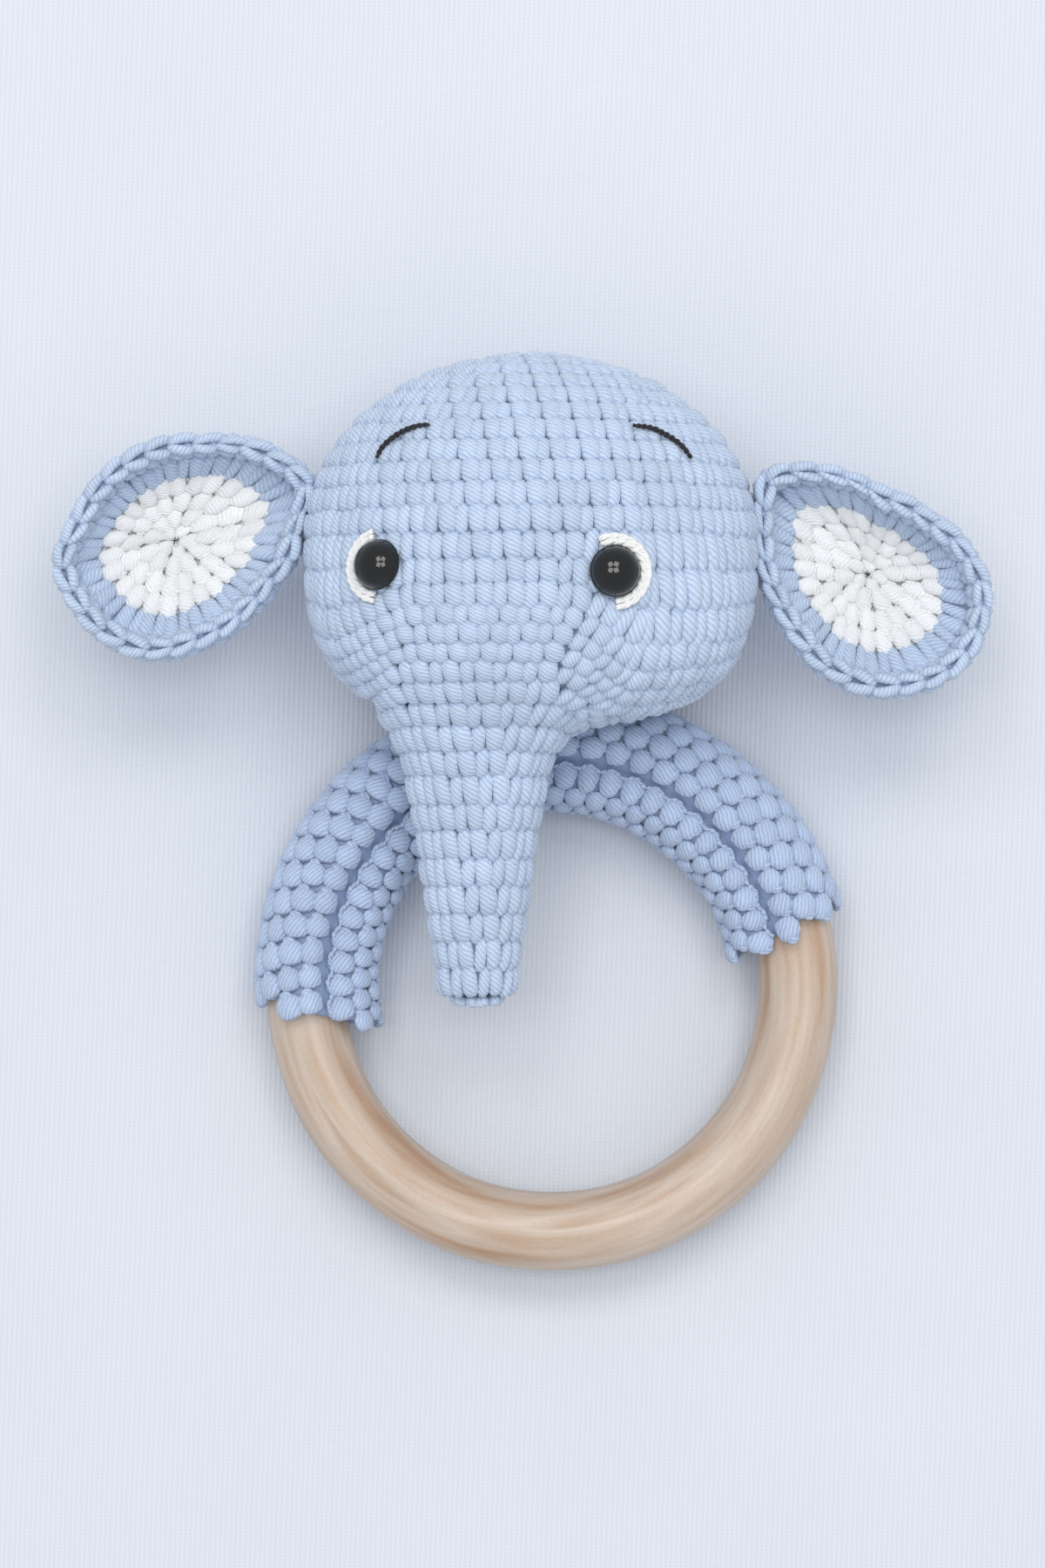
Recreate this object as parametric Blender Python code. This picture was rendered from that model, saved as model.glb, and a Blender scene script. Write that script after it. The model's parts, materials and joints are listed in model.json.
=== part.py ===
"""Crocheted elephant rattle: a stuffed head with cupped ears and a trunk, sewn to a sleeve on a wooden ring.

The toy lies on its back, face up. The origin is the middle of the flat at the back of the head, +Z points up
through the face, +Y towards the crown, and the ring lies on the -Y side.
"""

import math

import bmesh
import bpy
from mathutils import Matrix, Vector

MM = 0.001
GAP = 0.4 * MM

# Head: an egg with full cheeks, pressed flat at the back.
HEAD_HALF = Vector((27.1, 22.2, 23.0)) * MM
HEAD_CENTRE = Vector((0.0, 0.0, 21.8)) * MM
ROUND_POWER = 2.0
CHEEK_POWER = 2.9
SKIN_WALL = 2.6 * MM
STUFFING_SPLIT_Z = 20.5 * MM

# Wooden ring, and the sleeve that is crocheted round its upper half.
RING_CENTRE = Vector((2.6, -53.6, 7.7)) * MM
RING_MEAN_RADIUS = 30.2 * MM
RING_SECTION_RADIUS = 4.8 * MM
RING_BORE_CLEARANCE = 0.4 * MM
SLEEVE_MEAN_RADIUS = 28.9 * MM
SLEEVE_SECTION_RADIUS = 7.7 * MM
SLEEVE_START = math.radians(12.5)
SLEEVE_END = math.radians(187.5)
SADDLE_CLEARANCE = 0.9 * MM
LACING_MEAN_RADIUS = 25.6 * MM
LACING_HEIGHT = 8.1 * MM
YARN_RADIUS = 0.7 * MM
NECK_SEAM_HALF_ANGLE = math.radians(24.0)
NECK_SEAM_TURNS = 9
NECK_SEAM_LOW = (36.6 * MM, 1.5 * MM)
NECK_SEAM_HIGH = (35.7 * MM, 2.7 * MM)
NECK_YARN_RADIUS = 0.5 * MM
LACING_END_SHARE = 0.02

# Trunk: a ball in the face carries a long taper that lies over the sleeve.
TRUNK_PIVOT = Vector((-6.4, -19.6, 27.0)) * MM
TRUNK_DROOP = math.radians(8.5)
TRUNK_STATIONS = (
    (4.5 * MM, 9.0 * MM),
    (11.7 * MM, 7.85 * MM),
    (16.0 * MM, 7.0 * MM),
    (21.5 * MM, 6.4 * MM),
    (27.0 * MM, 5.5 * MM),
    (32.6 * MM, 4.5 * MM),
    (34.0 * MM, 3.0 * MM),
)
TRUNK_BALL_RADIUS = 9.2 * MM
TRUNK_MOUTH_RADIUS = 3.6 * MM
TRUNK_MOUTH_DEPTH = 12.0 * MM
TRUNK_LIFT = math.radians(40.0)
TRUNK_LIFT_STEPS = 8
TRUNK_SLOT_STEPS = 14
TRUNK_SLOT_BELOW = math.radians(94.0)
TRUNK_SLOT_ABOVE = math.radians(96.0)
TRUNK_SHADOW = math.radians(85.0)
TRUNK_SHADOW_FLOOR = 0.2
TRUNK_STUFFING_ROOM = 0.8 * MM
MUZZLE_BACK = Vector((-5.2, -8.0, 29.5)) * MM
MUZZLE_BACK_RADIUS = 12.6 * MM
MUZZLE_FRONT_RADIUS = 10.2 * MM

# Safety eyes, their washers and the embroidery round them.
EYES = {"left": (-17.4 * MM, -3.8 * MM), "right": (9.5 * MM, -4.6 * MM)}
EYE_RADIUS = 3.0 * MM
EYE_HEIGHT = 2.3 * MM
EYE_BASE = 0.45 * MM
EYE_RIM = 0.3 * MM
EYE_FLAT_SHARE = 0.94
EYE_SHANK_RADIUS = 1.15 * MM
EYE_SHANK_LENGTH = 7.6 * MM
EYE_SHANK_TIP_SHARE = 0.7
EYE_SHANK_TIP_LENGTH = 0.6 * MM
EYE_HOLE_RADIUS = 1.6 * MM
EYE_HOLE_DEPTH = 12.0 * MM
EYE_POCKET_DEPTH = 17.4 * MM
EYE_POCKET_CLEARANCE = 0.7 * MM
WASHER_RADIUS = 4.0 * MM
WASHER_THICKNESS = 1.0 * MM
WASHER_DEPTH = 3.4 * MM
WASHER_BORE_CLEARANCE = 0.3 * MM
WHITE_ARC_RADIUS = 4.5 * MM
WHITE_ARCS = {"left": (100.0, 262.0), "right": (-88.0, 118.0)}
BROWS = {
    "left": ((-17.3, 8.8), (-15.0, 11.2), (-11.7, 12.3)),
    "right": ((11.8, 12.0), (14.9, 11.3), (18.0, 8.8)),
}
BROW_RADIUS = 0.5 * MM

# Rattle: a snap-together ball in the stuffing with loose beads.
RATTLE_CENTRE = Vector((0.0, 3.0, 20.5)) * MM
RATTLE_RADIUS = 10.0 * MM
RATTLE_WALL = 1.1 * MM
RATTLE_LAP = 0.7 * MM
RATTLE_HALF_GAP = 0.15 * MM
RATTLE_POCKET_RADIUS = 10.5 * MM
BEAD_RADIUS = 1.6 * MM
BEAD_OFFSET = 3.1 * MM
BEAD_DROP = 5.0 * MM
BEAD_COUNT = 4

# Ears: a cupped teardrop, pinched where it is sewn on. u runs from the seam to the far edge.
EAR_CENTRES = {"left": Vector((-45.2, -1.7, 22.0)) * MM, "right": Vector((42.2, -5.2, 22.0)) * MM}
EAR_TURNS = {"left": math.radians(202.0), "right": math.radians(-43.0)}
EAR_SEAMS = {"left": (-1.0, 6.4 * MM), "right": (1.0, 8.8 * MM)}
EAR_HALF = Vector((13.9, 12.6, 7.0)) * MM
EAR_WALL = 2.8 * MM
EAR_RIM_HEIGHT = 2.0 * MM
EAR_LINING_WALL = 1.3 * MM
EAR_LINING_HEIGHT = 0.6 * MM
EAR_PINCH_START = 3.0 * MM
EAR_PINCH_REACH = 5.6 * MM
EAR_PINCH_WIDTH = 0.62
EAR_PINCH_DEPTH = 0.35
EAR_EDGE_RADIUS = 1.4 * MM
EAR_EDGE_INSET = 0.55
EAR_SEAM_HALF_LENGTH = 3.4 * MM
EAR_SEAM_DROP = 5.6 * MM
EAR_SEAM_RADIUS = 0.55 * MM
EAR_HINGE_RISE = 2.7 * MM


def clear_scene():
    """Removes every object of the open scene."""
    for obj in list(bpy.data.objects):
        bpy.data.objects.remove(obj, do_unlink=True)


def make_material(name, colour, roughness, metallic=0.0):
    """A Principled material with one colour."""
    material = bpy.data.materials.new(name)
    material.use_nodes = True
    shader = material.node_tree.nodes["Principled BSDF"]
    shader.inputs["Base Color"].default_value = (*colour, 1.0)
    shader.inputs["Roughness"].default_value = roughness
    shader.inputs["Metallic"].default_value = metallic
    return material


def add_object(name, bm, material, matrix=None):
    """Puts a bmesh into the scene as one named, smooth-shaded object."""
    bmesh.ops.remove_doubles(bm, verts=bm.verts[:], dist=0.001 * MM)
    bmesh.ops.recalc_face_normals(bm, faces=bm.faces[:])
    mesh = bpy.data.meshes.new(name)
    bm.to_mesh(mesh)
    bm.free()
    mesh.shade_smooth()
    mesh.set_sharp_from_angle(angle=math.radians(35.0))
    mesh.materials.append(material)
    obj = bpy.data.objects.new(name, mesh)
    obj.matrix_world = matrix or Matrix.Identity(4)
    bpy.context.scene.collection.objects.link(obj)
    return obj


def add_cutter(name, bm, matrix=None):
    """A hidden helper that shapes another object."""
    cutter = add_object(name, bm, bpy.data.materials["guide"], matrix)
    cutter.hide_render = True
    cutter.display_type = "WIRE"
    return cutter


def boolean(target, helper, operation="DIFFERENCE"):
    """Cuts, joins or intersects target with helper."""
    modifier = target.modifiers.new(f"{operation.lower()}_{helper.name}", "BOOLEAN")
    modifier.operation = operation
    modifier.solver = "EXACT"
    modifier.object = helper


def blend(low, high, value):
    """Smooth step from 0 at low to 1 at high."""
    share = min(max((value - low) / (high - low), 0.0), 1.0)
    return share * share * (3.0 - 2.0 * share)


def head_direction_scale(direction, half):
    """Distance from the head's centre to its surface along a unit direction."""
    power = ROUND_POWER + (CHEEK_POWER - ROUND_POWER) * blend(0.15, -0.55, direction.y)
    total = sum((abs(direction[i]) / half[i]) ** power for i in range(3))
    return total ** (-1.0 / power)


def head_fill(offset):
    """How far out an offset from the head's centre lies: under 1 inside the head, 1 on its surface."""
    return offset.length / head_direction_scale(offset.normalized(), HEAD_HALF)


def head_surface(start, direction):
    """Point where a line from start, inside the head, leaves its surface, with the outward normal there."""
    start = start - HEAD_CENTRE
    near, far = 0.0, 2.0 * HEAD_HALF.x
    for _ in range(40):
        middle = 0.5 * (near + far)
        near, far = (middle, far) if head_fill(start + direction * middle) < 1.0 else (near, middle)
    offset = start + direction * near
    step = 0.1 * MM
    slope = [
        head_fill(offset + Vector(axis) * step) - head_fill(offset - Vector(axis) * step)
        for axis in ((1, 0, 0), (0, 1, 0), (0, 0, 1))
    ]
    return HEAD_CENTRE + offset, Vector(slope).normalized()


def face_surface(x, y):
    """Point of the face above (x, y), with its outward normal."""
    return head_surface(Vector((x, y, HEAD_CENTRE.z)), Vector((0.0, 0.0, 1.0)))


def head_form(inset, segments=28, rings=18):
    """The head's solid, drawn in by inset and cut flat at the back."""
    half = HEAD_HALF - Vector((inset, inset, inset))
    bm = bmesh.new()
    bmesh.ops.create_uvsphere(bm, u_segments=segments, v_segments=rings, radius=1.0)
    for vert in bm.verts:
        direction = vert.co.normalized()
        vert.co = HEAD_CENTRE + direction * head_direction_scale(direction, half)
    geometry = bm.verts[:] + bm.edges[:] + bm.faces[:]
    bmesh.ops.bisect_plane(bm, geom=geometry, plane_co=(0, 0, inset), plane_no=(0, 0, -1), clear_outer=True)
    bmesh.ops.holes_fill(bm, edges=[edge for edge in bm.edges if edge.is_boundary])
    return bm


def turned(profile, segments=24):
    """A solid turned about Z from (radius, height) points that run from bottom pole to top pole."""
    bm = bmesh.new()
    verts = [bm.verts.new((radius, 0.0, height)) for radius, height in profile]
    edges = [bm.edges.new(pair) for pair in zip(verts, verts[1:])]
    bmesh.ops.spin(
        bm, geom=verts + edges, cent=(0, 0, 0), axis=(0, 0, 1), angle=math.tau, steps=segments, use_merge=True
    )
    bmesh.ops.remove_doubles(bm, verts=bm.verts[:], dist=0.01 * MM)
    bmesh.ops.holes_fill(bm, edges=[edge for edge in bm.edges if edge.is_boundary])
    return bm


def arc_profile(radius, centre_height, start_deg, end_deg, steps):
    """(radius, height) points on an arc about the turning axis, from start to end elevation."""
    points = []
    for step in range(steps + 1):
        elevation = math.radians(start_deg + (end_deg - start_deg) * step / steps)
        points.append((radius * math.cos(elevation), centre_height + radius * math.sin(elevation)))
    return points


def ring_solid(mean_radius, section_radius, start=0.0, end=math.tau, steps=44, sides=14):
    """A round bar bent about Z, as a full ring or as an arc with flat ends."""
    bm = bmesh.new()
    made = bmesh.ops.create_circle(bm, segments=sides, radius=section_radius)
    lift = Matrix.Rotation(start, 4, "Z") @ Matrix.Translation((mean_radius, 0, 0)) @ Matrix.Rotation(
        math.pi / 2, 4, "X"
    )
    bmesh.ops.transform(bm, matrix=lift, verts=made["verts"])
    full = math.isclose(end - start, math.tau)
    bmesh.ops.spin(
        bm, geom=bm.verts[:] + bm.edges[:], cent=(0, 0, 0), axis=(0, 0, 1), angle=end - start, steps=steps,
        use_merge=full,
    )
    if not full:
        bmesh.ops.holes_fill(bm, edges=[edge for edge in bm.edges if edge.is_boundary])
    return bm


def add_tube(name, points, radius, material, cyclic=False, resolution=1):
    """A round cord through points."""
    curve = bpy.data.curves.new(name, "CURVE")
    curve.dimensions = "3D"
    curve.bevel_depth = radius
    curve.bevel_resolution = resolution
    curve.use_fill_caps = not cyclic
    spline = curve.splines.new("POLY")
    spline.points.add(len(points) - 1)
    for target, point in zip(spline.points, points):
        target.co = (*point, 1.0)
    spline.use_cyclic_u = cyclic
    curve.materials.append(material)
    cord = bpy.data.objects.new(name, curve)
    bpy.context.scene.collection.objects.link(cord)
    return cord


def add_hinge(name, location):
    """An empty on a joint's axis, to carry the pieces that turn about it."""
    hinge = bpy.data.objects.new(name, None)
    hinge.empty_display_size = 5.0 * MM
    hinge.location = location
    bpy.context.scene.collection.objects.link(hinge)
    return hinge


def carry(hinge, *pieces):
    """Parents pieces to a hinge without moving them."""
    for piece in pieces:
        piece.parent = hinge
        piece.matrix_parent_inverse = Matrix.Translation(-hinge.location)


def frame_at(point, normal):
    """Matrix whose Z axis is normal and whose X axis lies level."""
    level = Vector((1.0, 0.0, 0.0))
    side = normal.cross(level).normalized()
    across = side.cross(normal).normalized()
    rotation = Matrix((across, side, normal)).transposed().to_4x4()
    return Matrix.Translation(point) @ rotation


def trunk_matrix():
    """Places a solid turned about Z with its origin on the trunk's pivot and +Z along the trunk."""
    along = Vector((0.0, -math.cos(TRUNK_DROOP), -math.sin(TRUNK_DROOP)))
    return Matrix.Translation(TRUNK_PIVOT) @ along.to_track_quat("Z", "X").to_matrix().to_4x4()


def build_ring(materials):
    """The turned wooden ring, its origin on its own axis."""
    add_object(
        "wooden_ring",
        ring_solid(RING_MEAN_RADIUS, RING_SECTION_RADIUS),
        materials["wood"],
        Matrix.Translation(RING_CENTRE),
    )


def build_sleeve(materials):
    """The crocheted sleeve with its bore, the lacing that closes it and the yarn that sews the head to it."""
    place = Matrix.Translation(RING_CENTRE)
    hinge = add_hinge("neck_hinge", RING_CENTRE + Vector((0.0, SLEEVE_MEAN_RADIUS, 0.0)))
    sleeve = add_object(
        "ring_sleeve",
        ring_solid(SLEEVE_MEAN_RADIUS, SLEEVE_SECTION_RADIUS, SLEEVE_START, SLEEVE_END, steps=22),
        materials["blue_yarn"],
        place,
    )
    bore = ring_solid(RING_MEAN_RADIUS, RING_SECTION_RADIUS + RING_BORE_CLEARANCE)
    boolean(sleeve, add_cutter("sleeve_bore", bore, place))

    lacing = []
    lacing_steps = 32
    for step in range(lacing_steps + 1):
        turn = SLEEVE_START + (SLEEVE_END - SLEEVE_START) * (
            LACING_END_SHARE + (1.0 - 2.0 * LACING_END_SHARE) * step / lacing_steps
        )
        offset = Vector((math.cos(turn), math.sin(turn), 0.0)) * LACING_MEAN_RADIUS
        lacing.append(RING_CENTRE + offset + Vector((0.0, 0.0, LACING_HEIGHT)))
    lace = add_tube("sleeve_lacing", lacing, YARN_RADIUS, materials["blue_yarn"])
    carry(hinge, sleeve, lace)

    seam = []
    for step in range(2 * NECK_SEAM_TURNS + 1):
        turn = math.pi / 2 - NECK_SEAM_HALF_ANGLE + NECK_SEAM_HALF_ANGLE * step / NECK_SEAM_TURNS
        reach, height = NECK_SEAM_LOW if step % 2 else NECK_SEAM_HIGH
        seam.append(Vector((RING_CENTRE.x, RING_CENTRE.y, 0.0)) + Vector(
            (reach * math.cos(turn), reach * math.sin(turn), height)
        ))
    add_tube("neck_seam_yarn", seam, NECK_YARN_RADIUS, materials["blue_yarn"])


def muzzle_form(inset):
    """The part of the face that leads into the trunk: a taper between two balls."""
    axis = TRUNK_PIVOT - MUZZLE_BACK
    length = axis.length
    back = MUZZLE_BACK_RADIUS - inset
    front = MUZZLE_FRONT_RADIUS - inset
    lean = math.degrees(math.asin((back - front) / length))
    profile = arc_profile(back, 0.0, -90.0, lean, 8) + arc_profile(front, length, lean, 90.0, 6)
    bm = turned(profile)
    place = Matrix.Translation(MUZZLE_BACK) @ axis.to_track_quat("Z", "X").to_matrix().to_4x4()
    bmesh.ops.transform(bm, matrix=place, verts=bm.verts[:])
    return bm


def swept_reach(angle, extra):
    """How far the lifting trunk reaches from its pivot at an angle above its resting direction."""
    reach = TRUNK_BALL_RADIUS
    for step in range(TRUNK_LIFT_STEPS + 1):
        off_axis = abs(angle - TRUNK_LIFT * step / TRUNK_LIFT_STEPS)
        if off_axis < TRUNK_SHADOW:
            reach = max(reach, TRUNK_BALL_RADIUS / max(math.sin(off_axis), TRUNK_SHADOW_FLOOR))
    return reach + extra


def trunk_clearance(extra):
    """Room for the trunk: the ball of its socket, and the slot that it sweeps as it lifts."""
    radius = TRUNK_BALL_RADIUS + extra
    bm = bmesh.new()
    bmesh.ops.create_uvsphere(bm, u_segments=22, v_segments=14, radius=radius)
    ball = add_cutter(f"trunk_socket_{extra / MM:.1f}", bm, Matrix.Translation(TRUNK_PIVOT))

    lowest = -TRUNK_SLOT_BELOW
    highest = TRUNK_SLOT_ABOVE + TRUNK_LIFT
    slot = bmesh.new()
    outline = [slot.verts.new((-radius, 0.0, 0.0))]
    for step in range(TRUNK_SLOT_STEPS + 1):
        angle = lowest + (highest - lowest) * step / TRUNK_SLOT_STEPS
        reach = swept_reach(angle, extra)
        outline.append(slot.verts.new((-radius, -reach * math.cos(angle), reach * math.sin(angle))))
    face = slot.faces.new(outline)
    moved = bmesh.ops.extrude_face_region(slot, geom=[face])
    across = [item for item in moved["geom"] if isinstance(item, bmesh.types.BMVert)]
    bmesh.ops.translate(slot, verts=across, vec=(2.0 * radius, 0.0, 0.0))
    sweep = add_cutter(f"trunk_sweep_{extra / MM:.1f}", slot, Matrix.Translation(TRUNK_PIVOT))
    return ball, sweep


def eye_frames():
    """Matrix of each eye: origin on the skin, +Z out of the face."""
    return {side: frame_at(*face_surface(*place)) for side, place in EYES.items()}


def build_head(materials):
    """The crocheted head skin, open where the trunk joins, and the two halves of its stuffing."""
    saddle = ring_solid(SLEEVE_MEAN_RADIUS, SLEEVE_SECTION_RADIUS + SADDLE_CLEARANCE)
    place = Matrix.Translation(RING_CENTRE)
    saddle_cutter = add_cutter("saddle", saddle, place)
    deep = ring_solid(SLEEVE_MEAN_RADIUS, SLEEVE_SECTION_RADIUS + SADDLE_CLEARANCE + SKIN_WALL)
    deep_saddle = add_cutter("deep_saddle", deep, place)

    hollow = add_cutter("head_hollow", head_form(SKIN_WALL))
    boolean(hollow, add_cutter("muzzle_hollow", muzzle_form(SKIN_WALL)), "UNION")
    boolean(hollow, deep_saddle)

    skin = add_object("head_skin", head_form(0.0), materials["blue_yarn"])
    boolean(skin, add_cutter("muzzle", muzzle_form(0.0)), "UNION")
    boolean(skin, saddle_cutter)
    boolean(skin, hollow)
    for cutter in trunk_clearance(GAP):
        boolean(skin, cutter)

    pockets = []
    pocket_radius = WASHER_RADIUS + EYE_POCKET_CLEARANCE
    for side, matrix in eye_frames().items():
        hole = bmesh.new()
        bmesh.ops.create_cone(
            hole, cap_ends=True, segments=16, radius1=EYE_HOLE_RADIUS, radius2=EYE_HOLE_RADIUS,
            depth=EYE_HOLE_DEPTH,
        )
        boolean(skin, add_cutter(f"eye_hole_{side}", hole, matrix))
        pocket = bmesh.new()
        bmesh.ops.create_cone(
            pocket, cap_ends=True, segments=24, radius1=pocket_radius, radius2=pocket_radius,
            depth=EYE_POCKET_DEPTH,
        )
        pockets.append(add_cutter(f"eye_pocket_{side}", pocket, matrix))

    rattle = bmesh.new()
    bmesh.ops.create_uvsphere(rattle, u_segments=22, v_segments=14, radius=RATTLE_POCKET_RADIUS)
    rattle_pocket = add_cutter("rattle_pocket", rattle, Matrix.Translation(RATTLE_CENTRE))
    deeper = add_cutter(
        "stuffing_saddle",
        ring_solid(SLEEVE_MEAN_RADIUS, SLEEVE_SECTION_RADIUS + SADDLE_CLEARANCE + SKIN_WALL + GAP),
        place,
    )
    socket, sweep = trunk_clearance(GAP + TRUNK_STUFFING_ROOM)
    for name, keep in (("stuffing_front", 1.0), ("stuffing_back", -1.0)):
        form = head_form(SKIN_WALL + GAP, segments=22, rings=14)
        bmesh.ops.bisect_plane(
            form,
            geom=form.verts[:] + form.edges[:] + form.faces[:],
            plane_co=(0.0, 0.0, STUFFING_SPLIT_Z + keep * 0.5 * GAP),
            plane_no=(0.0, 0.0, -keep),
            clear_outer=True,
        )
        bmesh.ops.holes_fill(form, edges=[edge for edge in form.edges if edge.is_boundary])
        half = add_object(name, form, materials["stuffing"])
        for cutter in (deeper, socket, sweep, rattle_pocket):
            boolean(half, cutter)
        if keep > 0.0:
            for cutter in pockets:
                boolean(half, cutter)


def trunk_radius(along):
    """The trunk's radius at a distance from its pivot, between two stations."""
    for (near, near_radius), (far, far_radius) in zip(TRUNK_STATIONS, TRUNK_STATIONS[1:]):
        if along <= far:
            return near_radius + (far_radius - near_radius) * (along - near) / (far - near)
    return TRUNK_STATIONS[-1][1]


def trunk_profile(inset):
    """The trunk's (radius, height) outline, drawn in by inset, from the back of its ball to its tip."""
    outline = arc_profile(TRUNK_BALL_RADIUS - inset, 0.0, -90.0, 10.0, 8)
    tip = TRUNK_STATIONS[-1][0] - inset
    outline += [(radius - inset, along) for along, radius in TRUNK_STATIONS if along < tip - 0.5 * MM]
    outline.append((trunk_radius(tip) - inset, tip))
    outline.append((0.0, tip))
    return outline


def build_trunk(materials):
    """The crocheted trunk, open at the back of its ball, and its stuffing."""
    skin = add_object("trunk_skin", turned(trunk_profile(0.0)), materials["blue_yarn"], trunk_matrix())
    hollow = turned(trunk_profile(SKIN_WALL))
    boolean(skin, add_cutter("trunk_hollow", hollow, trunk_matrix()))
    mouth = bmesh.new()
    bmesh.ops.create_cone(
        mouth, cap_ends=True, segments=24, radius1=TRUNK_MOUTH_RADIUS, radius2=TRUNK_MOUTH_RADIUS,
        depth=TRUNK_MOUTH_DEPTH,
    )
    behind = trunk_matrix() @ Matrix.Translation((0.0, 0.0, -TRUNK_BALL_RADIUS))
    boolean(skin, add_cutter("trunk_mouth", mouth, behind))
    add_object(
        "trunk_stuffing", turned(trunk_profile(SKIN_WALL + GAP), segments=16), materials["stuffing"],
        trunk_matrix(),
    )


def build_eyes(materials):
    """Domed safety eyes with their shanks and washers, and the white and black embroidery."""
    for side, matrix in eye_frames().items():
        profile = [(0.0, -EYE_SHANK_LENGTH), (EYE_SHANK_RADIUS * EYE_SHANK_TIP_SHARE, -EYE_SHANK_LENGTH)]
        profile += [(EYE_SHANK_RADIUS, -EYE_SHANK_LENGTH + EYE_SHANK_TIP_LENGTH), (EYE_SHANK_RADIUS, EYE_BASE)]
        profile += [(EYE_RADIUS * EYE_FLAT_SHARE, EYE_BASE), (EYE_RADIUS, EYE_BASE + EYE_RIM)]
        for step in range(1, 7):
            turn = math.radians(90.0 * step / 6)
            profile.append((EYE_RADIUS * math.cos(turn), EYE_BASE + EYE_RIM + EYE_HEIGHT * math.sin(turn)))
        add_object(f"eye_{side}", turned(profile, segments=20), materials["eye_plastic"], matrix)

        inner = EYE_SHANK_RADIUS + WASHER_BORE_CLEARANCE
        top = -WASHER_DEPTH
        washer = bmesh.new()
        corners = ((inner, top), (WASHER_RADIUS, top), (WASHER_RADIUS, top - WASHER_THICKNESS),
                   (inner, top - WASHER_THICKNESS))
        verts = [washer.verts.new((radius, 0.0, height)) for radius, height in corners]
        edges = [washer.edges.new((verts[i], verts[(i + 1) % 4])) for i in range(4)]
        bmesh.ops.spin(
            washer, geom=verts + edges, cent=(0, 0, 0), axis=(0, 0, 1), angle=math.tau, steps=20, use_merge=True
        )
        add_object(f"eye_washer_{side}", washer, materials["washer_plastic"], matrix)

        first, last = WHITE_ARCS[side]
        points = []
        for step in range(13):
            turn = math.radians(first + (last - first) * step / 12)
            flat = matrix @ Vector((WHITE_ARC_RADIUS * math.cos(turn), WHITE_ARC_RADIUS * math.sin(turn), 0.0))
            surface, normal = face_surface(flat.x, flat.y)
            points.append(surface + normal * (YARN_RADIUS + GAP))
        add_tube(f"eye_white_{side}", points, YARN_RADIUS, materials["white_yarn"])

        stitches = []
        for x, y in BROWS[side]:
            surface, normal = face_surface(x * MM, y * MM)
            stitches.append(surface + normal * (BROW_RADIUS + GAP))
        add_tube(f"brow_{side}", stitches, BROW_RADIUS, materials["black_thread"])


def build_rattle(materials):
    """A two-part plastic ball in the stuffing, with loose beads lying on its floor."""
    place = Matrix.Translation(RATTLE_CENTRE)
    inner = RATTLE_RADIUS - RATTLE_WALL
    step_radius = RATTLE_RADIUS - 0.5 * RATTLE_WALL
    shoulder = math.degrees(math.asin(RATTLE_HALF_GAP / RATTLE_RADIUS))
    lip = math.degrees(math.asin(RATTLE_LAP / inner))

    outer_arc = arc_profile(RATTLE_RADIUS, 0.0, -90.0, -shoulder, 7)
    inner_arc = arc_profile(inner, 0.0, -90.0, lip, 7)
    lip_radius = step_radius - RATTLE_HALF_GAP
    bottom_lip = [(lip_radius, -RATTLE_HALF_GAP), (lip_radius, RATTLE_LAP)]
    bottom = turned(outer_arc + bottom_lip + inner_arc[::-1], segments=20)
    add_object("rattle_shell_bottom", bottom, materials["rattle_plastic"], place)

    recess_radius = step_radius + RATTLE_HALF_GAP
    recess_height = RATTLE_LAP + 2.0 * RATTLE_HALF_GAP
    recess = math.degrees(math.asin(recess_height / inner))
    outer_arc = arc_profile(RATTLE_RADIUS, 0.0, 90.0, shoulder, 7)
    inner_arc = arc_profile(inner, 0.0, 90.0, recess, 7)
    top_recess = [(recess_radius, RATTLE_HALF_GAP), (recess_radius, recess_height)]
    top = turned(outer_arc + top_recess + inner_arc[::-1], segments=20)
    add_object("rattle_shell_top", top, materials["rattle_plastic"], place)

    for index in range(BEAD_COUNT):
        turn = math.tau * (index + 0.5) / BEAD_COUNT
        bead = bmesh.new()
        bmesh.ops.create_uvsphere(bead, u_segments=10, v_segments=8, radius=BEAD_RADIUS)
        offset = Vector((BEAD_OFFSET * math.cos(turn), BEAD_OFFSET * math.sin(turn), -BEAD_DROP))
        matrix = Matrix.Translation(RATTLE_CENTRE + offset)
        add_object(f"rattle_bead_{index + 1}", bead, materials["bead"], matrix)


def pinch(point):
    """Draws the seam end of an ear out to a narrow root; u is along x and v along y."""
    share = blend(EAR_PINCH_START, EAR_HALF.x, -point.x)
    return Vector((
        point.x - EAR_PINCH_REACH * share * share,
        point.y * (1.0 - EAR_PINCH_WIDTH * share),
        point.z * (1.0 - EAR_PINCH_DEPTH * share),
    ))


def ear_bowl(inset, top, segments=22, rings=12):
    """A pinched bowl, drawn in by inset on every side and cut level at top."""
    bm = bmesh.new()
    bmesh.ops.create_uvsphere(bm, u_segments=segments, v_segments=rings, radius=1.0)
    half = EAR_HALF - Vector((inset, inset, inset))
    bmesh.ops.scale(bm, vec=half, verts=bm.verts[:])
    bmesh.ops.bisect_plane(
        bm,
        geom=bm.verts[:] + bm.edges[:] + bm.faces[:],
        plane_co=(0.0, 0.0, top),
        plane_no=(0.0, 0.0, 1.0),
        clear_outer=True,
    )
    bmesh.ops.holes_fill(bm, edges=[edge for edge in bm.edges if edge.is_boundary])
    for vert in bm.verts:
        vert.co = pinch(vert.co)
    return bm


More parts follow.
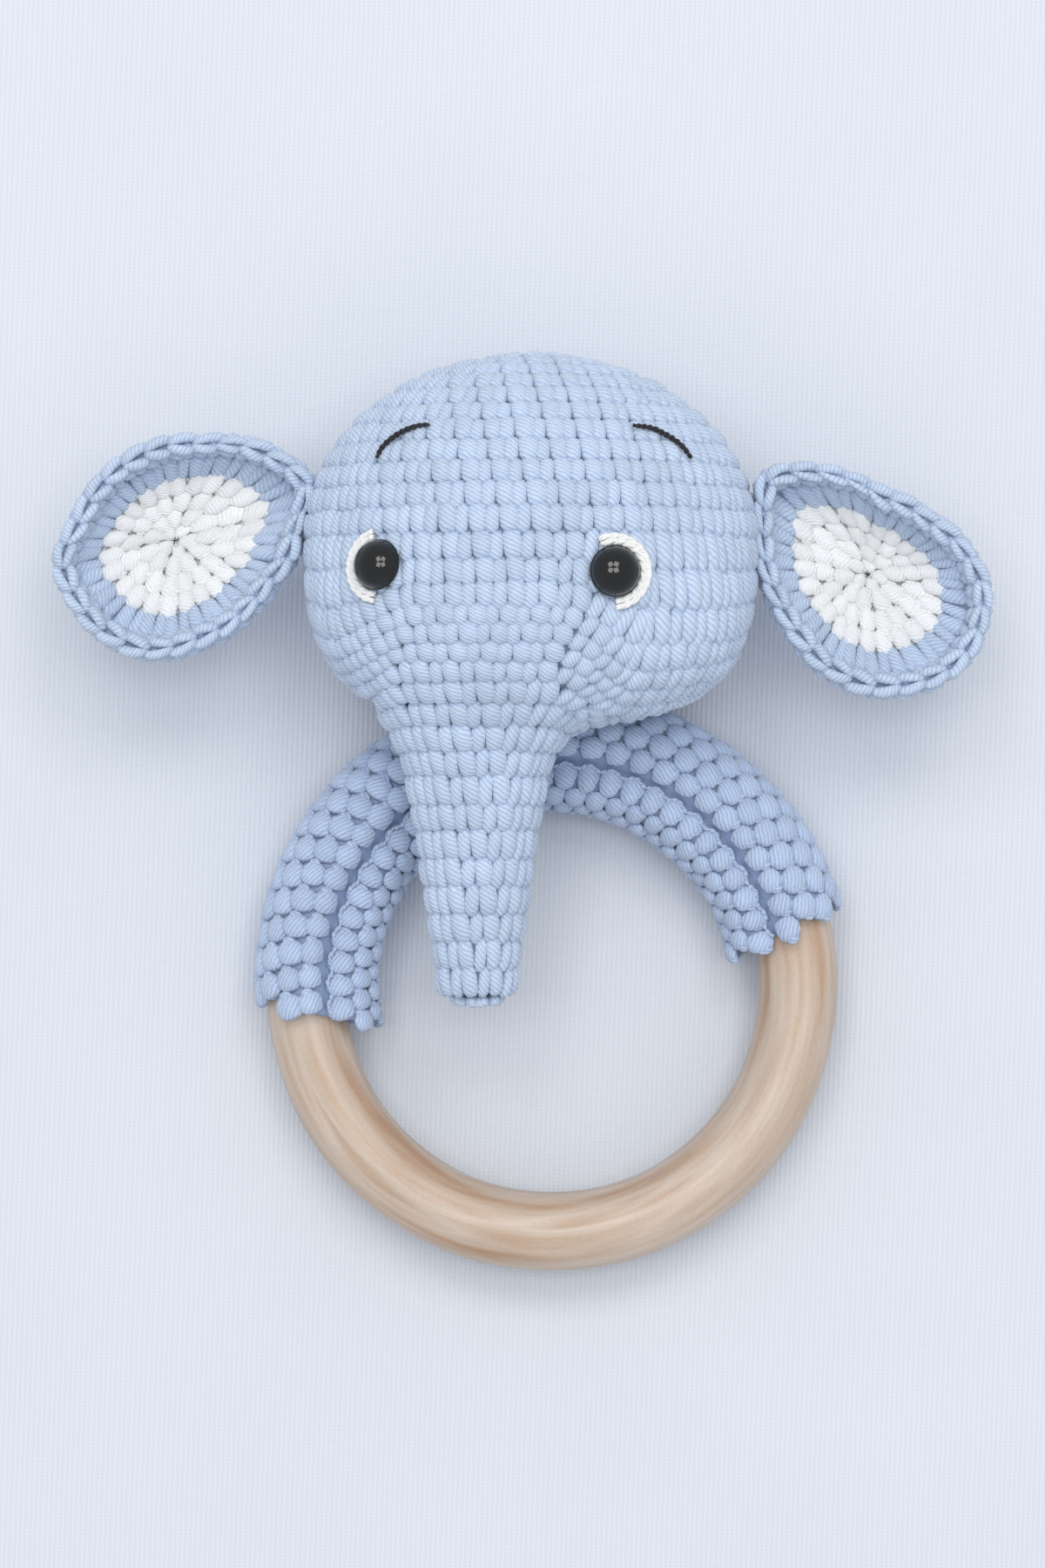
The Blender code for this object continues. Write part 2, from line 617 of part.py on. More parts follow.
def build_ear(side, materials):
    """One ear: blue back, white lining, chain-stitch edge and the yarn that sews it to the head."""
    place = Matrix.Translation(EAR_CENTRES[side]) @ Matrix.Rotation(EAR_TURNS[side], 4, "Z")
    back = add_object(f"ear_back_{side}", ear_bowl(0.0, EAR_RIM_HEIGHT), materials["blue_yarn"], place)
    hollow = ear_bowl(EAR_WALL, 2.0 * EAR_RIM_HEIGHT)
    boolean(back, add_cutter(f"ear_hollow_{side}", hollow, place))

    lining_inset = EAR_WALL + GAP
    lining = add_object(
        f"ear_lining_{side}", ear_bowl(lining_inset, EAR_LINING_HEIGHT), materials["white_yarn"], place
    )
    dish = ear_bowl(lining_inset + EAR_LINING_WALL, 2.0 * EAR_LINING_HEIGHT)
    boolean(lining, add_cutter(f"ear_dish_{side}", dish, place))

    edge = []
    for step in range(32):
        turn = math.tau * step / 32
        level = Vector((
            (EAR_HALF.x - EAR_EDGE_INSET * EAR_WALL) * math.cos(turn),
            (EAR_HALF.y - EAR_EDGE_INSET * EAR_WALL) * math.sin(turn),
            EAR_RIM_HEIGHT + EAR_EDGE_RADIUS + GAP,
        ))
        shaped = pinch(level)
        shaped.z = level.z
        edge.append(place @ shaped)
    rope = add_tube(f"ear_edge_{side}", edge, EAR_EDGE_RADIUS, materials["blue_yarn"], cyclic=True)

    side_sign, seam_y = EAR_SEAMS[side]
    sideways = Vector((side_sign, 0.0, 0.0))
    points = []
    for step in range(-2, 3):
        level = Vector((0.0, seam_y + EAR_SEAM_HALF_LENGTH * step / 2, HEAD_CENTRE.z - EAR_SEAM_DROP))
        surface, normal = head_surface(level, sideways)
        points.append(surface + normal * (EAR_SEAM_RADIUS + GAP))
    add_tube(f"ear_seam_{side}", points, EAR_SEAM_RADIUS, materials["blue_yarn"])

    root, _ = head_surface(Vector((0.0, seam_y, HEAD_CENTRE.z)), sideways)
    root.z += EAR_HINGE_RISE
    carry(add_hinge(f"ear_hinge_{side}", root), back, lining, rope)


def main():
    """Builds the toy piece by piece."""
    clear_scene()
    make_material("guide", (0.8, 0.1, 0.1), 0.5)
    materials = {
        "blue_yarn": make_material("blue_cotton_yarn", (0.47, 0.60, 0.79), 0.9),
        "white_yarn": make_material("white_cotton_yarn", (0.83, 0.82, 0.78), 0.9),
        "black_thread": make_material("black_embroidery_thread", (0.01, 0.01, 0.012), 0.7),
        "stuffing": make_material("polyester_stuffing", (0.85, 0.85, 0.84), 1.0),
        "wood": make_material("beech", (0.68, 0.48, 0.31), 0.55),
        "eye_plastic": make_material("black_eye_plastic", (0.006, 0.006, 0.007), 0.08),
        "washer_plastic": make_material("washer_plastic", (0.8, 0.8, 0.78), 0.4),
        "rattle_plastic": make_material("rattle_plastic", (0.8, 0.8, 0.82), 0.3),
        "bead": make_material("bead_plastic", (0.5, 0.5, 0.52), 0.4),
    }
    build_ring(materials)
    build_sleeve(materials)
    build_head(materials)
    build_trunk(materials)
    build_eyes(materials)
    build_rattle(materials)
    for side in EAR_CENTRES:
        build_ear(side, materials)


main()
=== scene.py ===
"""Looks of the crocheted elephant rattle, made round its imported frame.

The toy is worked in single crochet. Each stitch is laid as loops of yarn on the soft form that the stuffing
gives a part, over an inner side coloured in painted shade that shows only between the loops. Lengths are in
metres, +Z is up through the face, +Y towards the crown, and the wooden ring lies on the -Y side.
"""

import json
import logging
import math
from collections.abc import Callable
from dataclasses import dataclass, field
from enum import Enum

import bmesh
import bpy
import numpy as np
from mathutils import Matrix, Vector


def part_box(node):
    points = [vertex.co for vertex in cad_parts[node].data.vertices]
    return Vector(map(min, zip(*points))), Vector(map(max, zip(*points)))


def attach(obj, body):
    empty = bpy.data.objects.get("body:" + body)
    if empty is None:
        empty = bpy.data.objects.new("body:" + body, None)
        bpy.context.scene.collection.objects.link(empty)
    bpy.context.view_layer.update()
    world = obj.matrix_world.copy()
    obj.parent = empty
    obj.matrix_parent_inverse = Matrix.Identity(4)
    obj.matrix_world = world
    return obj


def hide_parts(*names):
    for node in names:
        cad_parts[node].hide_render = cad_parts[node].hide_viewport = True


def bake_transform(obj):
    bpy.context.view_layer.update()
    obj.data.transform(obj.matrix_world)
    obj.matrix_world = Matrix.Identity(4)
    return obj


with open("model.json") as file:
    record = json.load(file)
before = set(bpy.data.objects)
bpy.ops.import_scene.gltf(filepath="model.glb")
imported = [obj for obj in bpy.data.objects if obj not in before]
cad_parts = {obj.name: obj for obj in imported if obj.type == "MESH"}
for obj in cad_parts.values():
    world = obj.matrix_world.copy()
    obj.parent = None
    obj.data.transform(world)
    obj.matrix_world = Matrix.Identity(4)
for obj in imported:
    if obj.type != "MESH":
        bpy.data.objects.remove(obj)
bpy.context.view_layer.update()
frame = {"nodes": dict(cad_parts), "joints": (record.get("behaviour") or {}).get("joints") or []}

LOG = logging.getLogger("elephant_rattle")
MM = 0.001
STITCH_WIDTH = 3.65 * MM
ROW_HEIGHT = 3.2 * MM
SEED = 7
Array = np.ndarray


class Side(Enum):
    """The two sides of the face, as the nodes are named."""

    LEFT = "left"
    RIGHT = "right"


# ---------------------------------------------------------------- small helpers


def to_linear(hex_colour: str) -> tuple[float, float, float, float]:
    """Turns an sRGB hex colour into the linear one that shaders take.

    Args:
        hex_colour: Six hex digits, with or without a leading #.

    Returns:
        Linear red, green and blue with an alpha of 1.
    """
    digits = hex_colour.lstrip("#")
    shares = [int(digits[start:start + 2], 16) / 255.0 for start in (0, 2, 4)]
    linear = [s / 12.92 if s <= 0.04045 else ((s + 0.055) / 1.055) ** 2.4 for s in shares]
    return (*linear, 1.0)


def add_node(tree: bpy.types.NodeTree, kind: str, inputs: dict | None = None, **settings) -> bpy.types.Node:
    """Adds a shader node.

    Args:
        tree: The material's node tree.
        kind: The node's type name.
        inputs: Input name or number to a value, or to the output socket that feeds it.
        settings: The node's own properties.

    Returns:
        The new node.
    """
    node = tree.nodes.new(kind)
    for name, value in settings.items():
        setattr(node, name, value)
    for name, value in (inputs or {}).items():
        if isinstance(value, bpy.types.NodeSocket):
            tree.links.new(value, node.inputs[name])
        else:
            node.inputs[name].default_value = value
    return node


def new_material(name: str) -> tuple[bpy.types.Material, bpy.types.NodeTree, bpy.types.Node]:
    """Makes an empty material with its Principled shader.

    Args:
        name: What the finish is made of.

    Returns:
        The material, its node tree and its shader.
    """
    material = bpy.data.materials.new(name)
    material.use_nodes = True
    return material, material.node_tree, material.node_tree.nodes["Principled BSDF"]


def unit(vectors: Array) -> Array:
    """Vectors along the last axis, each brought to length 1."""
    return vectors / np.maximum(np.linalg.norm(vectors, axis=-1, keepdims=True), 1e-12)


def ease(low: float, high: float, value: Array) -> Array:
    """Smooth step from 0 at low to 1 at high."""
    share = np.clip((value - low) / (high - low), 0.0, 1.0)
    return share * share * (3.0 - 2.0 * share)


def soft_least(first: Array, second: Array, width: float) -> Array:
    """The smaller of two distances, rounded over where they are about equal."""
    near = np.clip(width - np.abs(first - second), 0.0, None) / width
    return np.minimum(first, second) - 0.25 * width * near * near


def soft_most(first: Array, second: Array, width: float) -> Array:
    """The larger of two distances, rounded over where they are about equal."""
    return -soft_least(-first, -second, width)


def close_in(near: Array, far: Array, rounds: int, inside: Callable[[Array], Array]) -> Array:
    """Halves a span again and again towards where a test stops holding.

    Args:
        near: Where the test holds.
        far: Where it doesn't.
        rounds: How many times to halve.
        inside: The test.

    Returns:
        The last place at which it held.
    """
    for _ in range(rounds):
        middle = 0.5 * (near + far)
        holds = inside(middle)
        near, far = np.where(holds, middle, near), np.where(holds, far, middle)
    return near


def joint_place(name: str) -> Array:
    """A point on a joint's axis."""
    found = next(joint for joint in frame["joints"] if joint["name"] == name)
    return np.array(found["pos_m"], float)


def node_box(name: str) -> tuple[Array, Array]:
    """Lowest and highest corner of a CAD node."""
    low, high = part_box(name)
    return np.array(low), np.array(high)


def link_mesh(name: str, bm: bmesh.types.BMesh, *materials: bpy.types.Material) -> bpy.types.Object:
    """Puts a bmesh into the scene as a smooth piece with its faces pointing out.

    Args:
        name: The piece's name.
        bm: The shape, which is freed.
        materials: Its finishes, in slot order.

    Returns:
        The new object.
    """
    bmesh.ops.recalc_face_normals(bm, faces=bm.faces[:])
    mesh = bpy.data.meshes.new(name)
    bm.to_mesh(mesh)
    bm.free()
    mesh.shade_smooth()
    for material in materials:
        mesh.materials.append(material)
    piece = bpy.data.objects.new(name, mesh)
    bpy.context.scene.collection.objects.link(piece)
    return piece


def turn_profile(profile: list[tuple[float, float]], steps: int, merge: float) -> bmesh.types.BMesh:
    """Turns a profile round Z.

    Args:
        profile: Radius and height of each of its points.
        steps: Faces round the form.
        merge: Distance within which points become one.

    Returns:
        The turned form.
    """
    bm = bmesh.new()
    verts = [bm.verts.new((radius, 0.0, height)) for radius, height in profile]
    edges = [bm.edges.new(pair) for pair in zip(verts, verts[1:])]
    bmesh.ops.spin(
        bm, geom=verts + edges, cent=(0, 0, 0), axis=(0, 0, 1), angle=math.tau, steps=steps, use_merge=True
    )
    bmesh.ops.remove_doubles(bm, verts=bm.verts[:], dist=merge)
    return bm


def move_verts(bm: bmesh.types.BMesh, mould: Callable[[Array], Array]) -> None:
    """Moves every vertex of a bmesh to where a function of all their places says."""
    verts = list(bm.verts)
    moved = mould(np.array([vert.co for vert in verts], float))
    for vert, place in zip(verts, moved):
        vert.co = place


def settle(piece: bpy.types.Object, body: str, slot: str, *nodes: str) -> bpy.types.Object:
    """Lets a piece ride on a body and hides the nodes that it stands for."""
    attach(piece, body)
    if nodes:
        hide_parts(*nodes)
    LOG.info("%s rides on %s", piece.name, body)
    return piece


# ---------------------------------------------------------------- finishes


@dataclass(frozen=True)
class CottonYarn:
    """Double-knitting cotton: plied, matt, with a faint halo of loose fibres.

    The eye sees fine diagonal plies, a light crown on each loop and a deeper tone where loops meet; the light
    crown is a painted highlight and the deeper tone is painted shade.
    """

    name: str
    # crown is a painted highlight on the ply crests, body the yarn's own colour, hollow painted shade under
    # and between the loops.
    crown: str
    body: str
    hollow: str
    ply_spacing: float = 0.5 * MM
    fibre_spacing: float = 0.16 * MM
    ply_slant: float = math.radians(52.0)
    relief: float = 0.22 * MM
    inner_shade: float = 0.72

    def material(self) -> bpy.types.Material:
        """Builds the yarn's material, which reads the loops' strand, tuck and tone attributes; tuck weighs
        the painted shade.
        """
        material, tree, shader = new_material(self.name)
        strand = add_node(tree, "ShaderNodeAttribute", attribute_name="strand")
        tuck = add_node(tree, "ShaderNodeAttribute", attribute_name="tuck")
        tone = add_node(tree, "ShaderNodeAttribute", attribute_name="tone")
        turned = add_node(
            tree, "ShaderNodeMapping",
            {"Vector": strand.outputs["Vector"], "Rotation": (0.0, self.ply_slant, 0.0)},
        )
        ply = add_node(
            tree, "ShaderNodeTexWave",
            {"Vector": turned.outputs["Vector"], "Scale": 0.31416 / self.ply_spacing, "Distortion": 2.2,
             "Detail": 2.0, "Detail Scale": 1.6},
            wave_type="BANDS", bands_direction="X", wave_profile="SIN",
        )
        stretched = add_node(
            tree, "ShaderNodeMapping", {"Vector": turned.outputs["Vector"], "Scale": (1.0, 1.0, 0.22)}
        )
        fibre = add_node(
            tree, "ShaderNodeTexNoise",
            {"Vector": stretched.outputs["Vector"], "Scale": 1.0 / self.fibre_spacing, "Detail": 2.0,
             "Roughness": 0.6},
        )
        relief = add_node(
            tree, "ShaderNodeMath", {0: ply.outputs["Fac"], 1: 0.6, 2: fibre.outputs["Fac"]},
            operation="MULTIPLY_ADD",
        )
        bump = add_node(
            tree, "ShaderNodeBump",
            {"Height": relief.outputs["Value"], "Distance": self.relief, "Strength": 0.55},
        )
        # Painted highlight: the ply crests take the lighter crown colour.
        lit = add_node(
            tree, "ShaderNodeMix", {0: ply.outputs["Fac"], 6: to_linear(self.body), 7: to_linear(self.crown)},
            data_type="RGBA",
        )
        mottled = add_node(
            tree, "ShaderNodeMapRange",
            {"Value": fibre.outputs["Fac"], "From Min": 0.25, "From Max": 0.75,
             "To Min": 0.9, "To Max": 1.06},
        )
        toned = add_node(
            tree, "ShaderNodeMath", {0: tone.outputs["Fac"], 1: 0.05, 2: mottled.outputs["Result"]},
            operation="MULTIPLY_ADD",
        )
        varied = add_node(
            tree, "ShaderNodeVectorMath", {0: lit.outputs[2], "Scale": toned.outputs["Value"]},
            operation="SCALE",
        )
        # Painted shade: the hollow colour where the tuck attribute marks the loops' undersides and ends.
        deep = add_node(
            tree, "ShaderNodeMix",
            {0: tuck.outputs["Fac"], 6: varied.outputs["Vector"], 7: to_linear(self.hollow)},
            data_type="RGBA",
        )
        tree.links.new(deep.outputs[2], shader.inputs["Base Color"])
        tree.links.new(bump.outputs["Normal"], shader.inputs["Normal"])
        shader.inputs["Roughness"].default_value = 0.92
        shader.inputs["Specular IOR Level"].default_value = 0.25
        shader.inputs["Sheen Weight"].default_value = 0.35
        shader.inputs["Sheen Roughness"].default_value = 0.5
        return material

    def inner_side(self) -> bpy.types.Material:
        """The same yarn seen deep between the loops, with painted shade: the hollow colour and a darkening by
        inner_shade, with a coarse tangle of strands.
        """
        material, tree, shader = new_material(f"{self.name}_inner_side")
        place = add_node(tree, "ShaderNodeTexCoord")
        tangle = add_node(
            tree, "ShaderNodeTexNoise",
            {"Vector": place.outputs["Object"], "Scale": 1.0 / (0.9 * MM), "Detail": 3.0, "Roughness": 0.65},
        )
        colour = add_node(
            tree, "ShaderNodeMix",
            {0: tangle.outputs["Fac"], 6: to_linear(self.hollow), 7: to_linear(self.body)}, data_type="RGBA",
        )
        # Painted shade: the whole inner side is darkened by inner_shade.
        dark = add_node(
            tree, "ShaderNodeVectorMath", {0: colour.outputs[2], "Scale": self.inner_shade}, operation="SCALE"
        )
        bump = add_node(
            tree, "ShaderNodeBump", {"Height": tangle.outputs["Fac"], "Distance": 0.3 * MM, "Strength": 0.8}
        )
        tree.links.new(dark.outputs["Vector"], shader.inputs["Base Color"])
        tree.links.new(bump.outputs["Normal"], shader.inputs["Normal"])
        shader.inputs["Roughness"].default_value = 0.95
        shader.inputs["Sheen Weight"].default_value = 0.2
        return material


@dataclass(frozen=True)
class TurnedBeech:
    """Beech turned on a lathe and oiled: pale and satin, with growth lines drawn out along the ring."""

    centre: Array
    grain_spacing: float = 0.55 * MM
    band_spacing: float = 2.6 * MM

    def material(self) -> bpy.types.Material:
        """Builds the wood, whose grain follows the ring round its own axis."""
        material, tree, shader = new_material("turned_beech")
        place = add_node(tree, "ShaderNodeTexCoord")
        centred = add_node(
            tree, "ShaderNodeVectorMath", {0: place.outputs["Object"], 1: tuple(self.centre)},
            operation="SUBTRACT",
        )
        level = add_node(
            tree, "ShaderNodeVectorMath", {0: centred.outputs["Vector"], 1: (1.0, 1.0, 0.0)},
            operation="MULTIPLY",
        )
        radius = add_node(tree, "ShaderNodeVectorMath", {0: level.outputs["Vector"]}, operation="LENGTH")
        heading = add_node(tree, "ShaderNodeVectorMath", {0: level.outputs["Vector"]}, operation="NORMALIZE")
        parts = add_node(tree, "ShaderNodeSeparateXYZ", {0: heading.outputs["Vector"]})
        height = add_node(tree, "ShaderNodeSeparateXYZ", {0: centred.outputs["Vector"]})
        drift = add_node(
            tree, "ShaderNodeMath", {0: parts.outputs["X"], 1: 1.6 * MM, 2: radius.outputs["Value"]},
            operation="MULTIPLY_ADD",
        )
        turns = {}
        for axis in "XY":
            for pace, length in (("slow", 1.1 * self.band_spacing), ("quick", 2.6 * self.grain_spacing)):
                turns[pace, axis] = add_node(
                    tree, "ShaderNodeMath", {0: parts.outputs[axis], 1: length}, operation="MULTIPLY"
                ).outputs["Value"]
        broad, fine_grain = (
            add_node(
                tree, "ShaderNodeCombineXYZ",
                {"X": drift.outputs["Value"], "Y": height.outputs["Z"], "Z": turns[pace, "X"]},
            )
            for pace in ("slow", "quick")
        )
        bands = add_node(
            tree, "ShaderNodeTexNoise",
            {"Vector": broad.outputs["Vector"], "W": turns["slow", "Y"], "Scale": 1.0 / self.band_spacing,
             "Detail": 2.0, "Roughness": 0.5},
            noise_dimensions="4D",
        )
        lines = add_node(
            tree, "ShaderNodeTexNoise",
            {"Vector": fine_grain.outputs["Vector"], "W": turns["quick", "Y"],
             "Scale": 1.0 / self.grain_spacing, "Detail": 3.0, "Roughness": 0.6},
            noise_dimensions="4D",
        )
        flecks = add_node(
            tree, "ShaderNodeTexNoise",
            {"Vector": place.outputs["Object"], "Scale": 1.0 / (0.35 * MM), "Detail": 2.0, "Roughness": 0.6},
        )
        ramp = add_node(tree, "ShaderNodeValToRGB", {"Fac": bands.outputs["Fac"]})
        tones = ((0.3, "AB8A70"), (0.43, "BAA38F"), (0.56, "C4B3A4"), (0.7, "B29882"))
        for stop, (position, tint) in zip(ramp.color_ramp.elements, (tones[0], tones[3])):
            stop.position, stop.color = position, to_linear(tint)
        for position, tint in tones[1:3]:
            ramp.color_ramp.elements.new(position).color = to_linear(tint)
        fine = add_node(
            tree, "ShaderNodeMapRange",
            {"Value": lines.outputs["Fac"], "From Min": 0.3, "From Max": 0.7, "To Min": 0.9, "To Max": 1.06},
        )
        speck = add_node(
            tree, "ShaderNodeMapRange",
            {"Value": flecks.outputs["Fac"], "From Min": 0.35, "From Max": 0.7,
             "To Min": 1.03, "To Max": 0.95},
        )
        shade = add_node(
            tree, "ShaderNodeMath", {0: fine.outputs["Result"], 1: speck.outputs["Result"]},
            operation="MULTIPLY",
        )
        colour = add_node(
            tree, "ShaderNodeVectorMath", {0: ramp.outputs["Color"], "Scale": shade.outputs["Value"]},
            operation="SCALE",
        )
        bump = add_node(
            tree, "ShaderNodeBump", {"Height": lines.outputs["Fac"], "Distance": 0.04 * MM, "Strength": 0.35}
        )
        gloss = add_node(
            tree, "ShaderNodeMapRange",
            {"Value": lines.outputs["Fac"], "From Min": 0.3, "From Max": 0.7, "To Min": 0.5, "To Max": 0.38},
        )
        tree.links.new(colour.outputs["Vector"], shader.inputs["Base Color"])
        tree.links.new(bump.outputs["Normal"], shader.inputs["Normal"])
        tree.links.new(gloss.outputs["Result"], shader.inputs["Roughness"])
        shader.inputs["Coat Weight"].default_value = 0.12
        shader.inputs["Coat Roughness"].default_value = 0.35
        return material


@dataclass(frozen=True)
class MouldedPlastic:
    """Injection-moulded plastic, with the slight waviness and dust of a small moulding."""

    name: str
    colour: str
    roughness: float
    ripple: float = 0.02 * MM
    coat: float = 0.0

    def material(self) -> bpy.types.Material:
        """Builds the plastic, with faint ripples and uneven gloss."""
        material, tree, shader = new_material(self.name)
        place = add_node(tree, "ShaderNodeTexCoord")
        wave = add_node(
            tree, "ShaderNodeTexNoise",
            {"Vector": place.outputs["Object"], "Scale": 1.0 / (1.8 * MM), "Detail": 1.0, "Roughness": 0.4},
        )
        dust = add_node(
            tree, "ShaderNodeTexNoise",
            {"Vector": place.outputs["Object"], "Scale": 1.0 / (0.3 * MM), "Detail": 2.0, "Roughness": 0.6},
        )
        gloss = add_node(
            tree, "ShaderNodeMapRange",
            {"Value": dust.outputs["Fac"], "From Min": 0.35, "From Max": 0.75, "To Min": self.roughness,
             "To Max": self.roughness + 0.08},
        )
        tint = add_node(
            tree, "ShaderNodeMapRange",
            {"Value": wave.outputs["Fac"], "From Min": 0.3, "From Max": 0.7, "To Min": 0.94, "To Max": 1.06},
        )
        colour = add_node(
            tree, "ShaderNodeVectorMath", {0: to_linear(self.colour)[:3], "Scale": tint.outputs["Result"]},
            operation="SCALE",
        )
        bump = add_node(
            tree, "ShaderNodeBump", {"Height": wave.outputs["Fac"], "Distance": self.ripple, "Strength": 0.3}
        )
        tree.links.new(colour.outputs["Vector"], shader.inputs["Base Color"])
        tree.links.new(gloss.outputs["Result"], shader.inputs["Roughness"])
        tree.links.new(bump.outputs["Normal"], shader.inputs["Normal"])
        shader.inputs["Coat Weight"].default_value = self.coat
        shader.inputs["Coat Roughness"].default_value = 0.05
        return material


@dataclass(frozen=True)
class Fibrefill:
    """Polyester fibrefill: white, springy, with soft tufts and fine crossing fibres."""

    def material(self) -> bpy.types.Material:
        """Builds the tufted white filling."""
        material, tree, shader = new_material("polyester_fibrefill")
        place = add_node(tree, "ShaderNodeTexCoord")
        tufts = add_node(
            tree, "ShaderNodeTexNoise",
            {"Vector": place.outputs["Object"], "Scale": 1.0 / (3.0 * MM), "Detail": 5.0, "Roughness": 0.7,
             "Distortion": 1.2},
        )
        colour = add_node(
            tree, "ShaderNodeMix",
            {0: tufts.outputs["Fac"], 6: to_linear("D3D6D8"), 7: to_linear("F7F8F8")}, data_type="RGBA",
        )
        bump = add_node(
            tree, "ShaderNodeBump", {"Height": tufts.outputs["Fac"], "Distance": 0.5 * MM, "Strength": 0.9}
        )
        tree.links.new(colour.outputs[2], shader.inputs["Base Color"])
        tree.links.new(bump.outputs["Normal"], shader.inputs["Normal"])
        shader.inputs["Roughness"].default_value = 0.95
        shader.inputs["Sheen Weight"].default_value = 0.5
        return material


@dataclass(frozen=True)
class CanvasFloor:
    """Plain white canvas: a fine rib, drawn at its real spacing of a little over half a millimetre."""

    rib_spacing: float = 0.62 * MM

    def material(self) -> bpy.types.Material:
        """Builds the pale ribbed cloth."""
        material, tree, shader = new_material("white_canvas")
        place = add_node(tree, "ShaderNodeTexCoord")
        turned = add_node(
            tree, "ShaderNodeMapping",
            {"Vector": place.outputs["Object"], "Rotation": (0.0, 0.0, math.radians(2.0))},
        )
        warp = add_node(
            tree, "ShaderNodeTexWave",
            {"Vector": turned.outputs["Vector"], "Scale": 0.31416 / self.rib_spacing, "Distortion": 0.5,
             "Detail": 1.0},
            wave_type="BANDS", bands_direction="X", wave_profile="SIN",
        )
        weft = add_node(
            tree, "ShaderNodeTexWave",
            {"Vector": turned.outputs["Vector"], "Scale": 0.31416 / (0.75 * self.rib_spacing),
             "Distortion": 0.6,
             "Detail": 1.0},
            wave_type="BANDS", bands_direction="Y", wave_profile="SIN",
        )
        weave = add_node(
            tree, "ShaderNodeMath", {0: weft.outputs["Fac"], 1: 0.35, 2: warp.outputs["Fac"]},
            operation="MULTIPLY_ADD",
        )
        cloud = add_node(
            tree, "ShaderNodeTexNoise", {"Vector": place.outputs["Object"], "Scale": 24.0, "Detail": 2.0}
        )
        tint = add_node(
            tree, "ShaderNodeMapRange",
            {"Value": weave.outputs["Value"], "From Min": 0.0, "From Max": 1.35,
             "To Min": 0.93, "To Max": 1.02},
        )
        base = add_node(
            tree, "ShaderNodeMix",
            {0: cloud.outputs["Fac"], 6: to_linear("CED3DC"), 7: to_linear("D6DAE2")}, data_type="RGBA",
        )
        colour = add_node(
            tree, "ShaderNodeVectorMath", {0: base.outputs[2], "Scale": tint.outputs["Result"]},
            operation="SCALE",
        )
        bump = add_node(
            tree, "ShaderNodeBump",
            {"Height": weave.outputs["Value"], "Distance": 0.12 * MM, "Strength": 0.35},
        )
        tree.links.new(colour.outputs["Vector"], shader.inputs["Base Color"])
        tree.links.new(bump.outputs["Normal"], shader.inputs["Normal"])
        shader.inputs["Roughness"].default_value = 0.9
        shader.inputs["Sheen Weight"].default_value = 0.2
        return material


@dataclass
class Finishes:
    """Every material of the toy, made once."""

    blue: bpy.types.Material
    blue_inner_painted_shade: bpy.types.Material
    sleeve_blue: bpy.types.Material
    sleeve_inner_painted_shade: bpy.types.Material
    white: bpy.types.Material
    white_inner_painted_shade: bpy.types.Material
    black_thread: bpy.types.Material
    wood: bpy.types.Material
    eye: bpy.types.Material
    washer: bpy.types.Material
    rattle: bpy.types.Material
    bead: bpy.types.Material
    fibrefill: bpy.types.Material


def make_finishes(ring_centre: Array) -> Finishes:
    """Makes the toy's materials.

    Args:
        ring_centre: Middle of the wooden ring, round which its grain runs.

    Returns:
        The finishes.
    """
    # Each yarn's crown is a painted highlight and its hollow painted shade; inner_shade darkens its inner
    # side as painted shade.
    blue = CottonYarn("pale_blue_cotton_yarn", crown="C5D3E6", body="A8BAD5", hollow="899DC2")
    deeper = CottonYarn(
        "sleeve_blue_cotton_yarn", crown="BCCBE2", body="9FB2D1", hollow="889EC5", inner_shade=0.85
    )
    white = CottonYarn("white_cotton_yarn", crown="F0F0EF", body="E9E9E8", hollow="E0E0E0", inner_shade=0.96)
    black = CottonYarn(
        "black_embroidery_cotton", crown="2A2C33", body="15161B", hollow="08090B", relief=0.08 * MM
    )
    return Finishes(
        blue=blue.material(),
        blue_inner_painted_shade=blue.inner_side(),
        sleeve_blue=deeper.material(),
        sleeve_inner_painted_shade=deeper.inner_side(),
        white=white.material(),
        white_inner_painted_shade=white.inner_side(),
        black_thread=black.material(),
        wood=TurnedBeech(ring_centre).material(),
        eye=MouldedPlastic("black_eye_plastic", "08090B", 0.05).material(),
        washer=MouldedPlastic("clear_white_nylon", "E4E4DF", 0.42).material(),
        rattle=MouldedPlastic("translucent_white_polypropylene", "E9E9EC", 0.34).material(),
        bead=MouldedPlastic("grey_abs_bead", "8E9096", 0.38).material(),
        fibrefill=Fibrefill().material(),
    )


# ---------------------------------------------------------------- stitches


@dataclass(frozen=True)
class Loop:
    """One loop of yarn in a stitch, from its foot to its top, with +Y along the rows' growth.

    bow carries its middle sideways, lift raises it off the form and dip tucks its two ends in.
    """

    foot: tuple[float, float]
    top: tuple[float, float]
    half_width: float
    half_depth: float
    bow: float = 0.0
    lift: float = 0.0
    dip: float = 0.7 * MM
    foot_dip: float = 0.7 * MM
    fullness: float = 1.0

    def bend(self, ball: Array) -> Array:
        """Carries points of a unit ball, poles on Z, onto the loop."""
        foot, top = np.array(self.foot), np.array(self.top)
        run = top - foot
        ahead = run / np.linalg.norm(run)
        aside = np.array((ahead[1], -ahead[0]))
        along = ball[:, 2]
        full = np.sqrt(1.0 + self.fullness * along * along)
        middle = foot + run * (0.5 + 0.5 * along)[:, None]
        sideways = ball[:, 0] * full * self.half_width + self.bow * (1.0 - along * along)
        flat = middle + aside * sideways[:, None]
        tuck = np.where(along > 0.0, self.dip, self.foot_dip) * np.abs(along) ** 3
        rise = self.lift + ball[:, 1] * full * self.half_depth - tuck
        return np.column_stack((flat, rise))


